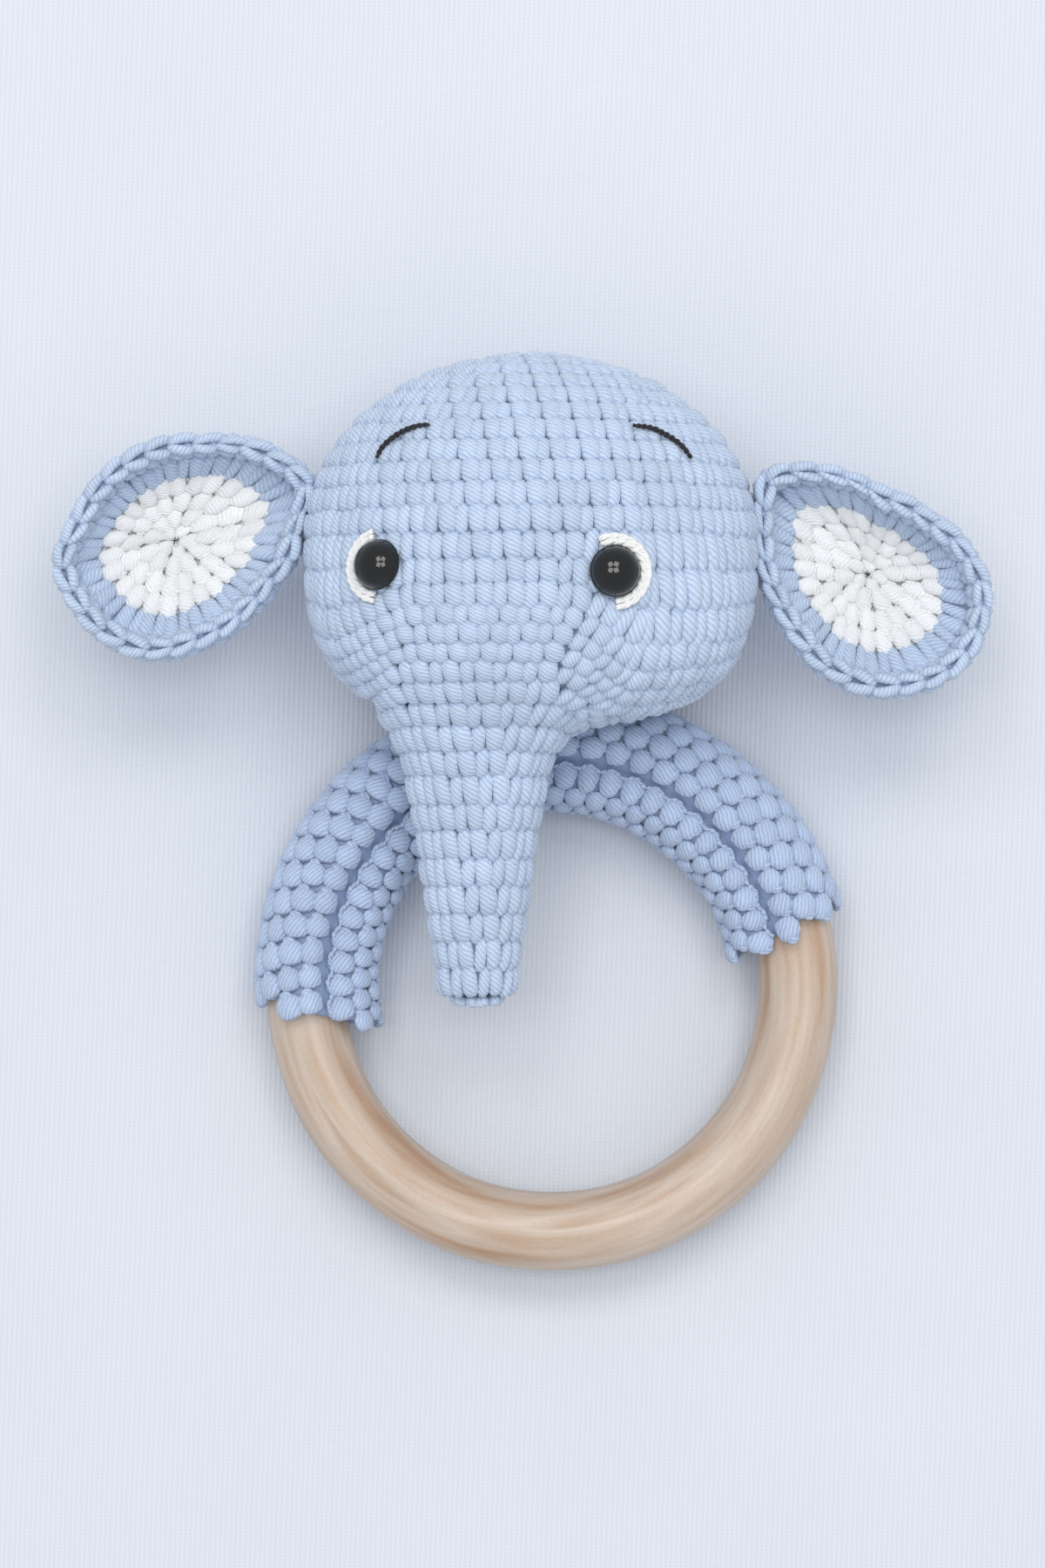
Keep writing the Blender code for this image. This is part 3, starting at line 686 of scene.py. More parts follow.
class Stitch:
    """A stitch's loops as one small mesh, to be laid many times over."""

    def __init__(self, name: str, loops: tuple[Loop, ...], segments: int = 7, rings: int = 6) -> None:
        """Builds the loops.

        Args:
            name: What the stitch is.
            loops: Its loops of yarn.
            segments: Faces round each loop.
            rings: Faces along each loop.
        """
        bm = bmesh.new()
        strand_layer = bm.verts.layers.float_vector.new("strand")
        painted_shade_layer = bm.verts.layers.float.new("tuck")
        for number, loop in enumerate(loops):
            made = bmesh.ops.create_uvsphere(bm, u_segments=segments, v_segments=rings, radius=1.0)
            balls = np.array([vert.co for vert in made["verts"]], float)
            length = 0.5 * math.dist(loop.foot, loop.top)
            for vert, ball, place in zip(made["verts"], balls, loop.bend(balls)):
                vert.co = place
                vert[strand_layer] = (
                    ball[0] * loop.half_width + 11.0 * MM * number, ball[1] * loop.half_depth,
                    ball[2] * length,
                )
                # Painted shade weight: most on the loop's underside, some towards its top end.
                under, tip = float(ease(0.2, -0.8, ball[1])), float(ease(0.6, 1.0, ball[2]))
                vert[painted_shade_layer] = 0.75 * under + 0.25 * tip
        bmesh.ops.recalc_face_normals(bm, faces=bm.faces[:])
        self.mesh = bpy.data.meshes.new(name)
        bm.to_mesh(self.mesh)
        bm.free()
        self.points = self.read(self.mesh, "co")

    @staticmethod
    def read(mesh: bpy.types.Mesh, name: str) -> Array:
        """The mesh's places, or a vector attribute of its points."""
        values = np.zeros(3 * len(mesh.vertices), np.float32)
        if name == "co":
            mesh.vertices.foreach_get("co", values)
        else:
            mesh.attributes[name].data.foreach_get("vector", values)
        return values.reshape(-1, 3).astype(float)

    def lay(
        self, name: str, places: Array, material: bpy.types.Material, seed: int = SEED
    ) -> bpy.types.Object:
        """Makes one piece of many stitches.

        Args:
            name: The piece's name.
            places: Where each point of each stitch goes, stitch by stitch.
            material: The yarn.
            seed: Start of the stitches' random tones.

        Returns:
            The piece, at rest in its place.
        """
        count = len(places)
        carrier = bpy.data.objects.new(f"{name}_carrier", self.mesh)
        bpy.context.scene.collection.objects.link(carrier)
        copies = carrier.modifiers.new("stitches", "ARRAY")
        copies.count = count
        copies.use_relative_offset = False
        copies.use_merge_vertices = False
        bpy.context.view_layer.update()
        mesh = bpy.data.meshes.new_from_object(carrier.evaluated_get(bpy.context.evaluated_depsgraph_get()))
        bpy.data.objects.remove(carrier)
        mesh.name = name
        mesh.vertices.foreach_set("co", places.reshape(-1).astype(np.float32))

        each = len(self.points)
        strand = self.read(mesh, "strand").reshape(count, each, 3)
        strand[:, :, 1] += (np.arange(count) * 5.7 * MM)[:, None]
        mesh.attributes["strand"].data.foreach_set("vector", strand.reshape(-1).astype(np.float32))
        tones = np.repeat(np.random.default_rng(seed).uniform(-1.0, 1.0, count), each)
        mesh.attributes.new("tone", "FLOAT", "POINT").data.foreach_set("value", tones.astype(np.float32))
        mesh.materials.clear()
        mesh.materials.append(material)
        mesh.update()
        mesh.shade_smooth()
        piece = bpy.data.objects.new(name, mesh)
        bpy.context.scene.collection.objects.link(piece)
        return piece


def single_crochet() -> Stitch:
    """The face of a single crochet: a slim left leg and a broader right one, open between their feet."""
    return Stitch("single_crochet", (
        Loop(foot=(-1.05 * MM, -1.0 * MM), top=(-0.85 * MM, 3.3 * MM), half_width=1.02 * MM,
             half_depth=0.85 * MM, bow=-0.08 * MM, lift=-0.6 * MM, dip=0.65 * MM, foot_dip=0.25 * MM),
        Loop(foot=(1.15 * MM, -0.8 * MM), top=(0.6 * MM, 3.4 * MM), half_width=1.32 * MM,
             half_depth=0.85 * MM, bow=0.12 * MM, lift=-0.55 * MM, dip=0.65 * MM, foot_dip=0.35 * MM),
    ))


def bobbly_crochet() -> Stitch:
    """The back of a single crochet: one round knob with a strand that slants past its foot."""
    return Stitch("bobbly_crochet", (
        Loop(foot=(0.5 * MM, -0.9 * MM), top=(-0.5 * MM, 3.0 * MM), half_width=1.8 * MM,
             half_depth=0.62 * MM, lift=-0.2 * MM, dip=0.7 * MM, foot_dip=0.1 * MM, fullness=0.6),
        Loop(foot=(-2.2 * MM, 0.1 * MM), top=(1.8 * MM, 1.5 * MM), half_width=1.2 * MM,
             half_depth=0.6 * MM, lift=-0.42 * MM, dip=0.2 * MM, foot_dip=0.2 * MM),
    ))


def chain_edge() -> Stitch:
    """A link of the chain that finishes an edge: two strands that slant together."""
    return Stitch("chain_edge", (
        Loop(foot=(-2.5 * MM, 0.2 * MM), top=(2.3 * MM, 1.35 * MM), half_width=0.8 * MM,
             half_depth=0.8 * MM, bow=0.15 * MM, lift=-0.3 * MM, dip=0.55 * MM, foot_dip=0.55 * MM),
        Loop(foot=(-2.4 * MM, 3.0 * MM), top=(2.4 * MM, 1.85 * MM), half_width=0.8 * MM,
             half_depth=0.8 * MM, bow=-0.15 * MM, lift=-0.3 * MM, dip=0.55 * MM, foot_dip=0.55 * MM),
    ))


# ---------------------------------------------------------------- head and trunk


class StuffedForm:
    """The stuffed head with its muzzle and trunk, as distances from their surfaces, negative inside."""

    def __init__(self) -> None:
        """Takes the form's driving sizes from the frame."""
        low, high = node_box("head_skin")
        self.half = np.array((high[0], high[1], 23.0 * MM))
        self.centre = np.array((0.0, 0.0, high[2] - self.half[2]))
        self.pivot = joint_place("trunk_lift")
        self.droop = math.radians(8.5)
        self.along = np.array((0.0, -math.cos(self.droop), -math.sin(self.droop)))
        self.reaches = np.array((0.0, 4.5, 11.7, 16.0, 21.5, 27.0, 32.6)) * MM
        self.radii = np.array((10.0, 9.1, 7.9, 7.05, 6.45, 5.6, 4.75)) * MM
        self.tip = 35.8 * MM
        self.muzzle_back = self.pivot + np.array((1.2, 11.6, 2.5)) * MM
        self.muzzle_radii = (12.6 * MM, 10.2 * MM)
        ring_low, ring_high = node_box("wooden_ring")
        self.ring_centre = 0.5 * (ring_low + ring_high)
        self.saddle_radius = 28.9 * MM
        self.saddle_depth = 9.0 * MM
        self.flat_height = 0.6 * MM

    def plump(self, points: Array) -> Array:
        """Distance from the head ball with its full cheeks and flat back, before the sleeve is pressed in."""
        offset = points - self.centre
        length = np.linalg.norm(offset, axis=-1)
        heading = offset / np.maximum(length, 1e-9)[..., None]
        power = 2.0 + 0.9 * ease(0.15, -0.55, heading[..., 1])
        total = sum((np.abs(heading[..., i]) / self.half[i]) ** power for i in range(3))
        ball = length - total ** (-1.0 / power)
        return soft_most(ball, self.flat_height - points[..., 2], 3.0 * MM)

    def from_bar(self, points: Array) -> Array:
        """Distance from the line through the middle of the sleeve."""
        level = points - self.ring_centre
        return np.hypot(np.hypot(level[..., 0], level[..., 1]) - self.saddle_radius, level[..., 2])

    def head(self, points: Array) -> Array:
        """Distance from the head, with the hollow that the sleeve presses into it."""
        return soft_most(self.plump(points), self.saddle_depth - self.from_bar(points), 2.5 * MM)

    def muzzle(self, points: Array) -> Array:
        """Distance from the taper that leads from the face into the trunk."""
        axis = self.pivot - self.muzzle_back
        share = np.clip((points - self.muzzle_back) @ axis / (axis @ axis), 0.0, 1.0)
        nearest = self.muzzle_back + share[..., None] * axis
        back, front = self.muzzle_radii
        return np.linalg.norm(points - nearest, axis=-1) - (back + (front - back) * share)

    def trunk(self, points: Array) -> Array:
        """Distance from the trunk, with its blunt tip."""
        reach = (points - self.pivot) @ self.along
        aside = np.linalg.norm(points - self.pivot - reach[..., None] * self.along, axis=-1)
        tube = aside - np.interp(reach, self.reaches, self.radii)
        tube = soft_most(tube, reach - self.tip, 2.6 * MM)
        return np.maximum(tube, -reach)

    def snout(self, points: Array) -> Array:
        """Distance from the muzzle and trunk together."""
        return soft_least(self.muzzle(points), self.trunk(points), 2.0 * MM)

    def whole(self, points: Array) -> Array:
        """Distance from the head and trunk together, soft in the crease between them."""
        return soft_least(self.head(points), self.snout(points), 5.5 * MM)

    def socket(self, points: Array) -> Array:
        """Distance from the head and muzzle without the trunk."""
        return soft_least(self.head(points), self.muzzle(points), 5.5 * MM)

    def axis_at(self, y: Array) -> tuple[Array, Array, Array]:
        """The snout's axis X, Z and radius at a Y."""
        reach = (self.pivot[1] - y) / math.cos(self.droop)
        front_z = self.pivot[2] - reach * math.sin(self.droop)
        share = np.clip((y - self.pivot[1]) / (self.muzzle_back[1] - self.pivot[1]), 0.0, 1.0)
        behind = y > self.pivot[1]
        x = self.pivot[0] + np.where(behind, share, 0.0) * (self.muzzle_back[0] - self.pivot[0])
        z = np.where(behind, self.pivot[2] + share * (self.muzzle_back[2] - self.pivot[2]), front_z)
        back, front = self.muzzle_radii
        radius = np.where(behind, front + (back - front) * share, np.interp(reach, self.reaches, self.radii))
        return x, z, radius

    @staticmethod
    def slope(distance: Callable[[Array], Array], points: Array) -> Array:
        """How a distance grows, by central differences."""
        step = 0.05 * MM
        parts = []
        for axis in np.eye(3) * step:
            parts.append((distance(points + axis) - distance(points - axis)) / (2.0 * step))
        return np.stack(parts, axis=-1)

    def drop_on(self, distance: Callable[[Array], Array], points: Array) -> tuple[Array, Array]:
        """Brings points onto a surface and gives the outward normals there."""
        for _ in range(3):
            slope = self.slope(distance, points)
            steep = np.maximum((slope * slope).sum(-1), 0.2)
            points = points - (distance(points) / steep)[..., None] * slope
        return points, unit(self.slope(distance, points))


@dataclass
class Spots:
    """Where stitches sit on a form: place, direction across and up the row, width and height."""

    place: Array
    across: Array
    up: Array
    width: Array
    height: Array

    def keep(self, chosen: Array) -> "Spots":
        """Only the chosen spots."""
        return Spots(self.place[chosen], self.across[chosen], self.up[chosen], self.width[chosen],
                     self.height[chosen])

    @staticmethod
    def join(parts: list["Spots"]) -> "Spots":
        """All the spots of several rows."""
        return Spots(*(np.concatenate([getattr(part, name) for part in parts])
                       for name in ("place", "across", "up", "width", "height")))


@dataclass
class RowField:
    """The rounds of crochet that run across the face and on down the trunk.

    A round is a line of equal level. Rounds rise towards the back of the cheeks and arch over the trunk.
    """

    form: StuffedForm
    back_rise: float = 15.5
    rise_to: float = 25.0 * MM
    face_height: float = 25.0 * MM
    rise_reach: float = 14.0 * MM
    trunk_near: float = 8.0 * MM
    trunk_far: float = 19.0 * MM
    arch: float = 2.6 * MM
    arch_to: float = 12.0 * MM
    throat: float = -22.0 * MM
    root: float = -26.0 * MM
    samples: int = 240
    drift: float = 0.13

    def level(self, points: Array) -> Array:
        """Which round a point lies on, as a height up the face."""
        y = points[..., 1]
        x, z, _ = self.form.axis_at(y)
        away = np.hypot(points[..., 0] - x, np.minimum(points[..., 2] - z, 0.0))
        on_trunk = 1.0 - ease(self.trunk_near, self.trunk_far, away)
        rise = self.back_rise * np.clip(-y, 0.0, self.rise_to)
        height = self.rise_reach * np.tanh((points[..., 2] - self.face_height) / self.rise_reach)
        tilted = rise * height * (1.0 - on_trunk)
        return y + tilted - self.arch * on_trunk * ease(0.0, self.arch_to, -y)

    def on_level(self, level: float, x: Array, z: Array) -> Array:
        """Points of a round's level above given X and Z."""
        low = np.full_like(x, -80.0 * MM)
        high = np.full_like(x, 50.0 * MM)
        for _ in range(22):
            middle = 0.5 * (low + high)
            under = self.level(np.stack((x, middle, z), axis=-1)) < level
            low = np.where(under, middle, low)
            high = np.where(under, high, middle)
        return np.stack((x, 0.5 * (low + high), z), axis=-1)

    def ring(self, level: float, core: tuple[float, float], distance: Callable[[Array], Array]) -> Array:
        """One closed round on a surface.

        Args:
            level: The round's level.
            core: X and Z of a point inside it.
            distance: The surface.

        Returns:
            Points along the round, the first in front of the core.
        """
        turns = 0.5 * math.pi - np.linspace(0.0, math.tau, self.samples, endpoint=False)
        heading = np.stack((np.cos(turns), np.sin(turns)), axis=-1)
        rays = np.linspace(0.0, 42.0 * MM, 36)
        flat_x = core[0] + rays[:, None] * heading[:, 0]
        flat_z = core[1] + rays[:, None] * heading[:, 1]
        outside = distance(self.on_level(level, flat_x, flat_z)) > 0.0
        first = np.maximum(outside.argmax(axis=0), 1)
        near, far = rays[first - 1], rays[first]
        for _ in range(14):
            middle = 0.5 * (near + far)
            points = self.on_level(level, core[0] + middle * heading[:, 0], core[1] + middle * heading[:, 1])
            out = distance(points) > 0.0
            near, far = np.where(out, near, middle), np.where(out, middle, far)
        return points

    def spots(self, ring: Array, rise: float, row: int, distance: Callable[[Array], Array]) -> Spots:
        """Places the stitches of one round.

        Args:
            ring: Points along the round, the first at the front.
            rise: Level from this round to the next one up.
            row: The round's number, which shifts its stitches sideways.
            distance: The surface.

        Returns:
            The stitches' spots.
        """
        closed = np.vstack((ring, ring[:1]))
        lengths = np.concatenate(((0.0,), np.cumsum(np.linalg.norm(np.diff(closed, axis=0), axis=1))))
        count = max(5, round(lengths[-1] / STITCH_WIDTH))
        starts = (np.arange(count) + 0.5 + self.drift * row) % count / count * lengths[-1]
        place = np.column_stack([np.interp(starts, lengths, closed[:, i]) for i in range(3)])
        step = lengths[-1] / count / 4.0
        ahead, behind = (
            np.column_stack([np.interp((starts + way) % lengths[-1], lengths, part) for part in closed.T])
            for way in (step, -step)
        )
        place, normal = self.form.drop_on(distance, place)
        across = unit(ahead - behind)
        up = unit(np.cross(normal, across))
        pace = 0.6 * MM
        climb = (self.level(place + up * pace) - self.level(place - up * pace)) / (2.0 * pace)
        up = np.where((climb < 0.0)[:, None], -up, up)
        height = np.clip(rise / np.maximum(np.abs(climb), 0.25), 0.62 * ROW_HEIGHT, 1.45 * ROW_HEIGHT)
        across = np.cross(up, normal)
        return Spots(place, across, up, np.full(count, lengths[-1] / count), height)


@dataclass
class HeadAndTrunk:
    """The crocheted head and trunk with what they hold."""

    finishes: Finishes
    form: StuffedForm
    rows: RowField
    stitch: Stitch
    face_pitch: float = 3.2 * MM
    trunk_pitch: float = 3.6 * MM
    jitter: float = 0.035
    bend_start: float = -13.5 * MM
    bend_end: float = -26.0 * MM
    trunk_share: float = 1.32
    inner_depth: float = 0.95 * MM
    tip_stitches: int = 6
    hollow_step: float = 6.3
    neck_rows: int = 3
    chin_top: float = -12.5 * MM
    chin_cover: float = 0.9 * MM
    chin_room: float = 0.72

    def core(self, level: float) -> tuple[float, float]:
        """X and Z inside the round of a level: in the trunk below the face, in the head above it."""
        x, z, _ = self.form.axis_at(np.array(min(level, -8.0 * MM)))
        share = float(ease(-21.0 * MM, -8.0 * MM, np.array(level)))
        return (float(x) * (1.0 - share), float(z) + (self.form.centre[2] - float(z)) * share)

    def front_levels(self) -> list[float]:
        """Levels of the rounds, evenly spaced along the front from the trunk's tip to the crown."""
        levels = np.linspace(-57.0 * MM, 22.05 * MM, 260)
        front = []
        for level in levels:
            x, z = self.core(float(level))
            heights = np.linspace(0.0, 40.0 * MM, 90)
            line = self.rows.on_level(float(level), np.full_like(heights, x), z + heights)
            inside = self.form.whole(line) < 0.0
            last = int(np.argmin(inside)) - 1 if not inside.all() else len(heights) - 1
            front.append(line[max(last, 0)])
        steps = np.linalg.norm(np.diff(np.array(front), axis=0), axis=1)
        slim_to_full = ease(-30.0 * MM, -14.0 * MM, levels[1:])
        pitch = self.trunk_pitch + (self.face_pitch - self.trunk_pitch) * slim_to_full
        counted = np.concatenate(((0.0,), np.cumsum(steps / pitch)))
        rows = int(counted[-1] - 0.3)
        return [float(np.interp(row + 0.15, counted, levels)) for row in range(rows + 1)]

    def all_spots(self) -> Spots:
        """Every stitch of the head and trunk."""
        levels = self.front_levels()
        LOG.info("%d rounds from the trunk's tip to the crown", len(levels))
        laid = [self.tip_spots()]
        for row, level in enumerate(levels):
            above = levels[row + 1] if row + 1 < len(levels) else level + 0.9 * self.face_pitch
            surface = self.form.whole if level > self.rows.root else self.form.snout
            ring = self.rows.ring(level, self.core(level), surface)
            spots = self.rows.spots(ring, above - level, -row, self.form.whole)
            spots = spots.keep(~self.in_hollow(spots.place) | self.on_snout(spots.place))
            laid.append(spots.keep(self.on_snout(spots.place)) if level < self.rows.throat else spots)
        sphere = unit(np.random.default_rng(SEED).normal(size=(4000, 3)))
        lowest = float(self.rows.level(self.shrink_on(self.form.head, 0.0)(sphere)).min()) - 0.4 * MM
        for row in range(self.neck_rows):
            share = (row + 1.0) / self.neck_rows
            level = self.rows.throat + (lowest - self.rows.throat) * share
            core = (0.0, 15.5 * MM - 8.0 * MM * share)
            ring = self.rows.ring(level, core, self.form.head)
            rise = (self.rows.throat - lowest) / self.neck_rows
            spots = self.rows.spots(ring, rise, row, self.form.whole)
            laid.append(spots.keep(~self.in_hollow(spots.place) & ~self.on_snout(spots.place)))
        laid.append(self.hollow_spots())
        laid.append(self.chin_spots(Spots.join(laid)))
        return Spots.join(laid)

    def chin_spots(self, laid: Spots | None) -> Spots:
        """Stitches across the underside of the head, where its rounds run out.

        Args:
            laid: The stitches already there, which are left room; none for the patch behind the trunk.

        Returns:
            The spots in the open, or those that the trunk covers until it lifts.
        """
        x, z = np.meshgrid(np.arange(-22.0, 23.0, 3.65) * MM, np.arange(7.0, 53.0, 3.2) * MM)
        flat = np.column_stack((x.ravel(), np.full(x.size, -self.form.half[1]), z.ravel()))
        surface = self.form.whole if laid else self.form.head
        place, normal = self.form.drop_on(surface, flat)
        across = unit(np.cross(np.array((0.0, 0.0, 1.0)), normal))
        sizes = np.ones(len(place))
        spots = Spots(place, across, np.cross(normal, across), STITCH_WIDTH * sizes, ROW_HEIGHT * sizes)
        low_down = place[:, 1] < self.chin_top
        if laid is None:
            return spots.keep(low_down & (self.form.whole(place) < -self.chin_cover))
        gap = np.linalg.norm(place[:, None, :] - laid.place[None, :, :], axis=-1).min(1)
        in_open = self.form.snout(flat) > -0.2 * MM
        return spots.keep(low_down & in_open & (gap > self.chin_room * ROW_HEIGHT))

    def hollow_spots(self) -> Spots:
        """Stitches that line the hollow over the sleeve, in rounds along the sleeve."""
        form = self.form
        turns = np.arange(-35.0, 200.0, math.degrees(ROW_HEIGHT / form.saddle_depth))
        around, along = np.meshgrid(np.radians(turns), np.radians(np.arange(8.0, 172.0, self.hollow_step)))
        around, along = around.ravel()[:, None], along.ravel()[:, None]
        rise = np.array((0.0, 0.0, 1.0))
        heading = np.hstack((np.cos(along), np.sin(along), 0.0 * along))
        outward = np.cos(around) * heading + np.sin(around) * rise
        place = form.ring_centre + form.saddle_radius * heading + form.saddle_depth * outward
        up = np.cos(around) * rise - np.sin(around) * heading
        reach = form.saddle_radius + form.saddle_depth * np.cos(around[:, 0])
        width = reach * math.radians(self.hollow_step)
        spots = Spots(place, np.cross(up, -outward), up, width, np.full(len(place), ROW_HEIGHT))
        inside = form.plump(place) < -0.3 * MM
        return spots.keep(inside & (form.snout(place) > -1.0 * MM))

    def in_hollow(self, places: Array) -> Array:
        """Whether places lie in the hollow over the sleeve."""
        return self.form.from_bar(places) < self.form.saddle_depth + 0.5 * MM

    def on_snout(self, places: Array) -> Array:
        """Whether places under the face lie on the snout, and not on the neck behind it."""
        x, height, radius = self.form.axis_at(places[:, 1])
        in_front = (places[:, 2] > height - 2.0 * MM) & (np.abs(places[:, 0] - x) < 1.15 * radius)
        return (self.form.snout(places) < self.form.head(places)) | in_front

    def tip_spots(self) -> Spots:
        """Stitches that close the trunk's tip, drawn in to its middle."""
        turns = math.tau * np.arange(self.tip_stitches)[:, None] / self.tip_stitches
        aside = np.array((1.0, 0.0, 0.0))
        outward = np.cos(turns) * aside + np.sin(turns) * np.cross(self.form.along, aside)
        end = self.form.pivot + self.form.along * self.form.tip
        place, normal = self.form.drop_on(self.form.whole, end + 2.9 * MM * outward)
        across = unit(np.cross(-outward, normal))
        up = np.cross(normal, across)
        sizes = np.ones(self.tip_stitches)
        return Spots(place, across, up, 0.85 * STITCH_WIDTH * sizes, 0.85 * ROW_HEIGHT * sizes)

    def places(self, spots: Spots, surface: Callable[[Array], Array]) -> Array:
        """Lays the stitch on every spot, bent to the surface under it."""
        random = np.random.default_rng(SEED)
        count = len(spots.place)
        points = self.stitch.points
        swing = random.normal(0.0, self.jitter, count)[:, None]
        wide = (spots.width / STITCH_WIDTH * random.normal(1.0, 0.03, count))[:, None]
        tall = (spots.height / ROW_HEIGHT * random.normal(1.0, 0.03, count))[:, None]
        x = points[:, 0] * wide - points[:, 1] * tall * swing
        y = points[:, 1] * tall + points[:, 0] * wide * swing
        lift = points[:, 2] * np.sqrt(np.clip(wide, 0.5, 1.1)) + random.normal(0.0, 0.07 * MM, count)[:, None]
        flat = spots.place[:, None, :] + x[..., None] * spots.across[:, None, :]
        flat = flat + y[..., None] * spots.up[:, None, :]
        base, normal = self.form.drop_on(surface, flat)
        return base + lift[..., None] * normal

    def build(self) -> None:
        """Lays the stitches and their inner side, and packs the filling."""
        spots = self.all_spots()
        places = self.places(spots, self.form.whole)
        x, z, radius = self.form.axis_at(spots.place[:, 1])
        away = np.hypot(spots.place[:, 0] - x, spots.place[:, 2] - z) / radius
        on_trunk = (away < self.trunk_share) & (spots.place[:, 1] < self.bend_start)
        LOG.info("%d stitches on the head, %d on the trunk", (~on_trunk).sum(), on_trunk.sum())
        head = self.stitch.lay("head_crochet", places[~on_trunk], self.finishes.blue)
        settle(head, "head", "blue_yarn", "head_skin")
        trunk = self.stitch.lay("trunk_crochet", places[on_trunk], self.finishes.blue, SEED + 1)
        self.bend(trunk, "blue_yarn", "trunk_skin")
        chin = self.stitch.lay(
            "chin_crochet", self.places(self.chin_spots(None), self.form.head), self.finishes.blue, SEED + 12
        )
        settle(chin, "head", "blue_yarn")
        self.build_inner_sides()
        self.build_filling()

    def bend(self, piece: bpy.types.Object, slot: str, *nodes: str) -> None:
        """Bakes a piece of the trunk into place and hides the nodes that it stands for."""
        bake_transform(piece)
        if nodes:
            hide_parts(*nodes)
        LOG.info("%s bends between head and trunk", piece.name)

    def shrink_on(self, distance: Callable[[Array], Array], depth: float) -> Callable[[Array], Array]:
        """A mould that carries a ball round the head's centre to a depth under a surface."""
        def mould(balls: Array) -> Array:
            heading = unit(balls)
            reach = close_in(
                np.zeros(len(heading)), np.full(len(heading), 45.0 * MM), 24,
                lambda middle: distance(self.form.centre + heading * middle[:, None]) < -depth,
            )
            return self.form.centre + heading * reach[:, None]
        return mould

    def trunk_tube(self, depth: float, start: float, steps: int = 40, sides: int = 32) -> bmesh.types.BMesh:
        """A closed turned form at a depth under the trunk, from a reach behind its pivot to its tip."""
        reaches = np.linspace(start, self.form.tip - depth, steps)
        radii = np.interp(reaches, self.form.reaches, self.form.radii) - depth
        radii *= np.sqrt(np.clip((self.form.tip - depth - reaches) / (2.2 * MM), 0.0, 1.0))
        radii *= np.sqrt(np.clip((reaches - start) / (3.0 * MM), 0.0, 1.0))
        bm = turn_profile(list(zip(radii, reaches)), sides, 0.002 * MM)
        turn = Vector(self.form.along).to_track_quat("Z", "X").to_matrix().to_4x4()
        bmesh.ops.transform(bm, matrix=Matrix.Translation(self.form.pivot) @ turn, verts=bm.verts[:])
        return bm

    def build_inner_sides(self) -> None:
        """The inner side of the fabric, coloured in painted shade, seen only between the stitches."""
        ball = bmesh.new()
        bmesh.ops.create_uvsphere(ball, u_segments=112, v_segments=72, radius=1.0)
        move_verts(ball, self.shrink_on(self.form.head, self.inner_depth))
        inner = link_mesh("head_inner_side", ball, self.finishes.blue_inner_painted_shade)
        settle(inner, "head", "blue_yarn")
        ball = bmesh.new()
        bmesh.ops.create_uvsphere(ball, u_segments=160, v_segments=112, radius=1.0)
        move_verts(ball, self.shrink_on(self.form.socket, self.inner_depth))
        middles = np.array([face.calc_center_median() for face in ball.faces], float)
        on_head = self.form.head(middles) < -0.75 * self.inner_depth
        behind = [face for face, out in zip(ball.faces[:], on_head) if out]
        bmesh.ops.delete(ball, geom=behind, context="FACES")
        muzzle = link_mesh("muzzle_inner_side", ball, self.finishes.blue_inner_painted_shade)
        self.bend(muzzle, "blue_yarn")
        shape = self.trunk_tube(self.inner_depth, -4.0 * MM)
        tube = link_mesh("trunk_inner_side", shape, self.finishes.blue_inner_painted_shade)
        self.bend(tube, "blue_yarn")

    def build_filling(self) -> None:
        """Fibrefill, teased into tufts, in two halves round the rattle and one in the trunk."""
        _, rattle_high = node_box("rattle_shell_top")
        rattle_low, _ = node_box("rattle_shell_bottom")
        middle = 0.5 * (rattle_low + rattle_high)
        room = 0.5 * (rattle_high[0] - rattle_low[0]) + 0.4 * MM
        for name, keep in (("stuffing_front", 1.0), ("stuffing_back", -1.0)):
            ball = bmesh.new()
            bmesh.ops.create_uvsphere(ball, u_segments=72, v_segments=48, radius=1.0)
            move_verts(ball, self.shrink_on(self.form.head, 3.2 * MM))
            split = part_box("stuffing_back")[1].z + 0.2 * MM
            geometry = ball.verts[:] + ball.edges[:] + ball.faces[:]
            bmesh.ops.bisect_plane(
                ball, geom=geometry, plane_co=(0, 0, split + keep * 0.2 * MM), plane_no=(0, 0, -keep),
                clear_outer=True,
            )
            rim = [edge for edge in ball.edges if edge.is_boundary]
            for share in (0.8, 0.62, 0.46, 0.3):
                rim = self.draw_in(ball, rim, middle, share, room, split + keep * 0.2 * MM, keep)
            bmesh.ops.holes_fill(ball, edges=rim)
            piece = link_mesh(f"{name}_fibrefill", ball, self.finishes.fibrefill)
            settle(piece, "head", "stuffing", name)
        plug = link_mesh("trunk_fibrefill", self.trunk_tube(3.2 * MM, -6.0 * MM), self.finishes.fibrefill)
        settle(plug, "trunk", "stuffing", "trunk_stuffing")

    @staticmethod
    def draw_in(
        bm: bmesh.types.BMesh, rim: list, middle: Array, share: float, room: float, level: float, keep: float
    ) -> list:
        """Extrudes a rim inwards and dishes it round the rattle, and gives the new rim."""
        made = bmesh.ops.extrude_edge_only(bm, edges=rim)["geom"]
        verts = [item for item in made if isinstance(item, bmesh.types.BMVert)]
        for vert in verts:
            offset = Vector((vert.co.x - middle[0], vert.co.y - middle[1]))
            offset *= share / (share + 0.2)
            reach = offset.length
            lift = math.sqrt(max(room * room - reach * reach, 0.0))
            vert.co = (middle[0] + offset.x, middle[1] + offset.y, level + keep * lift)
        return [item for item in made if isinstance(item, bmesh.types.BMEdge)]


# ---------------------------------------------------------------- threads


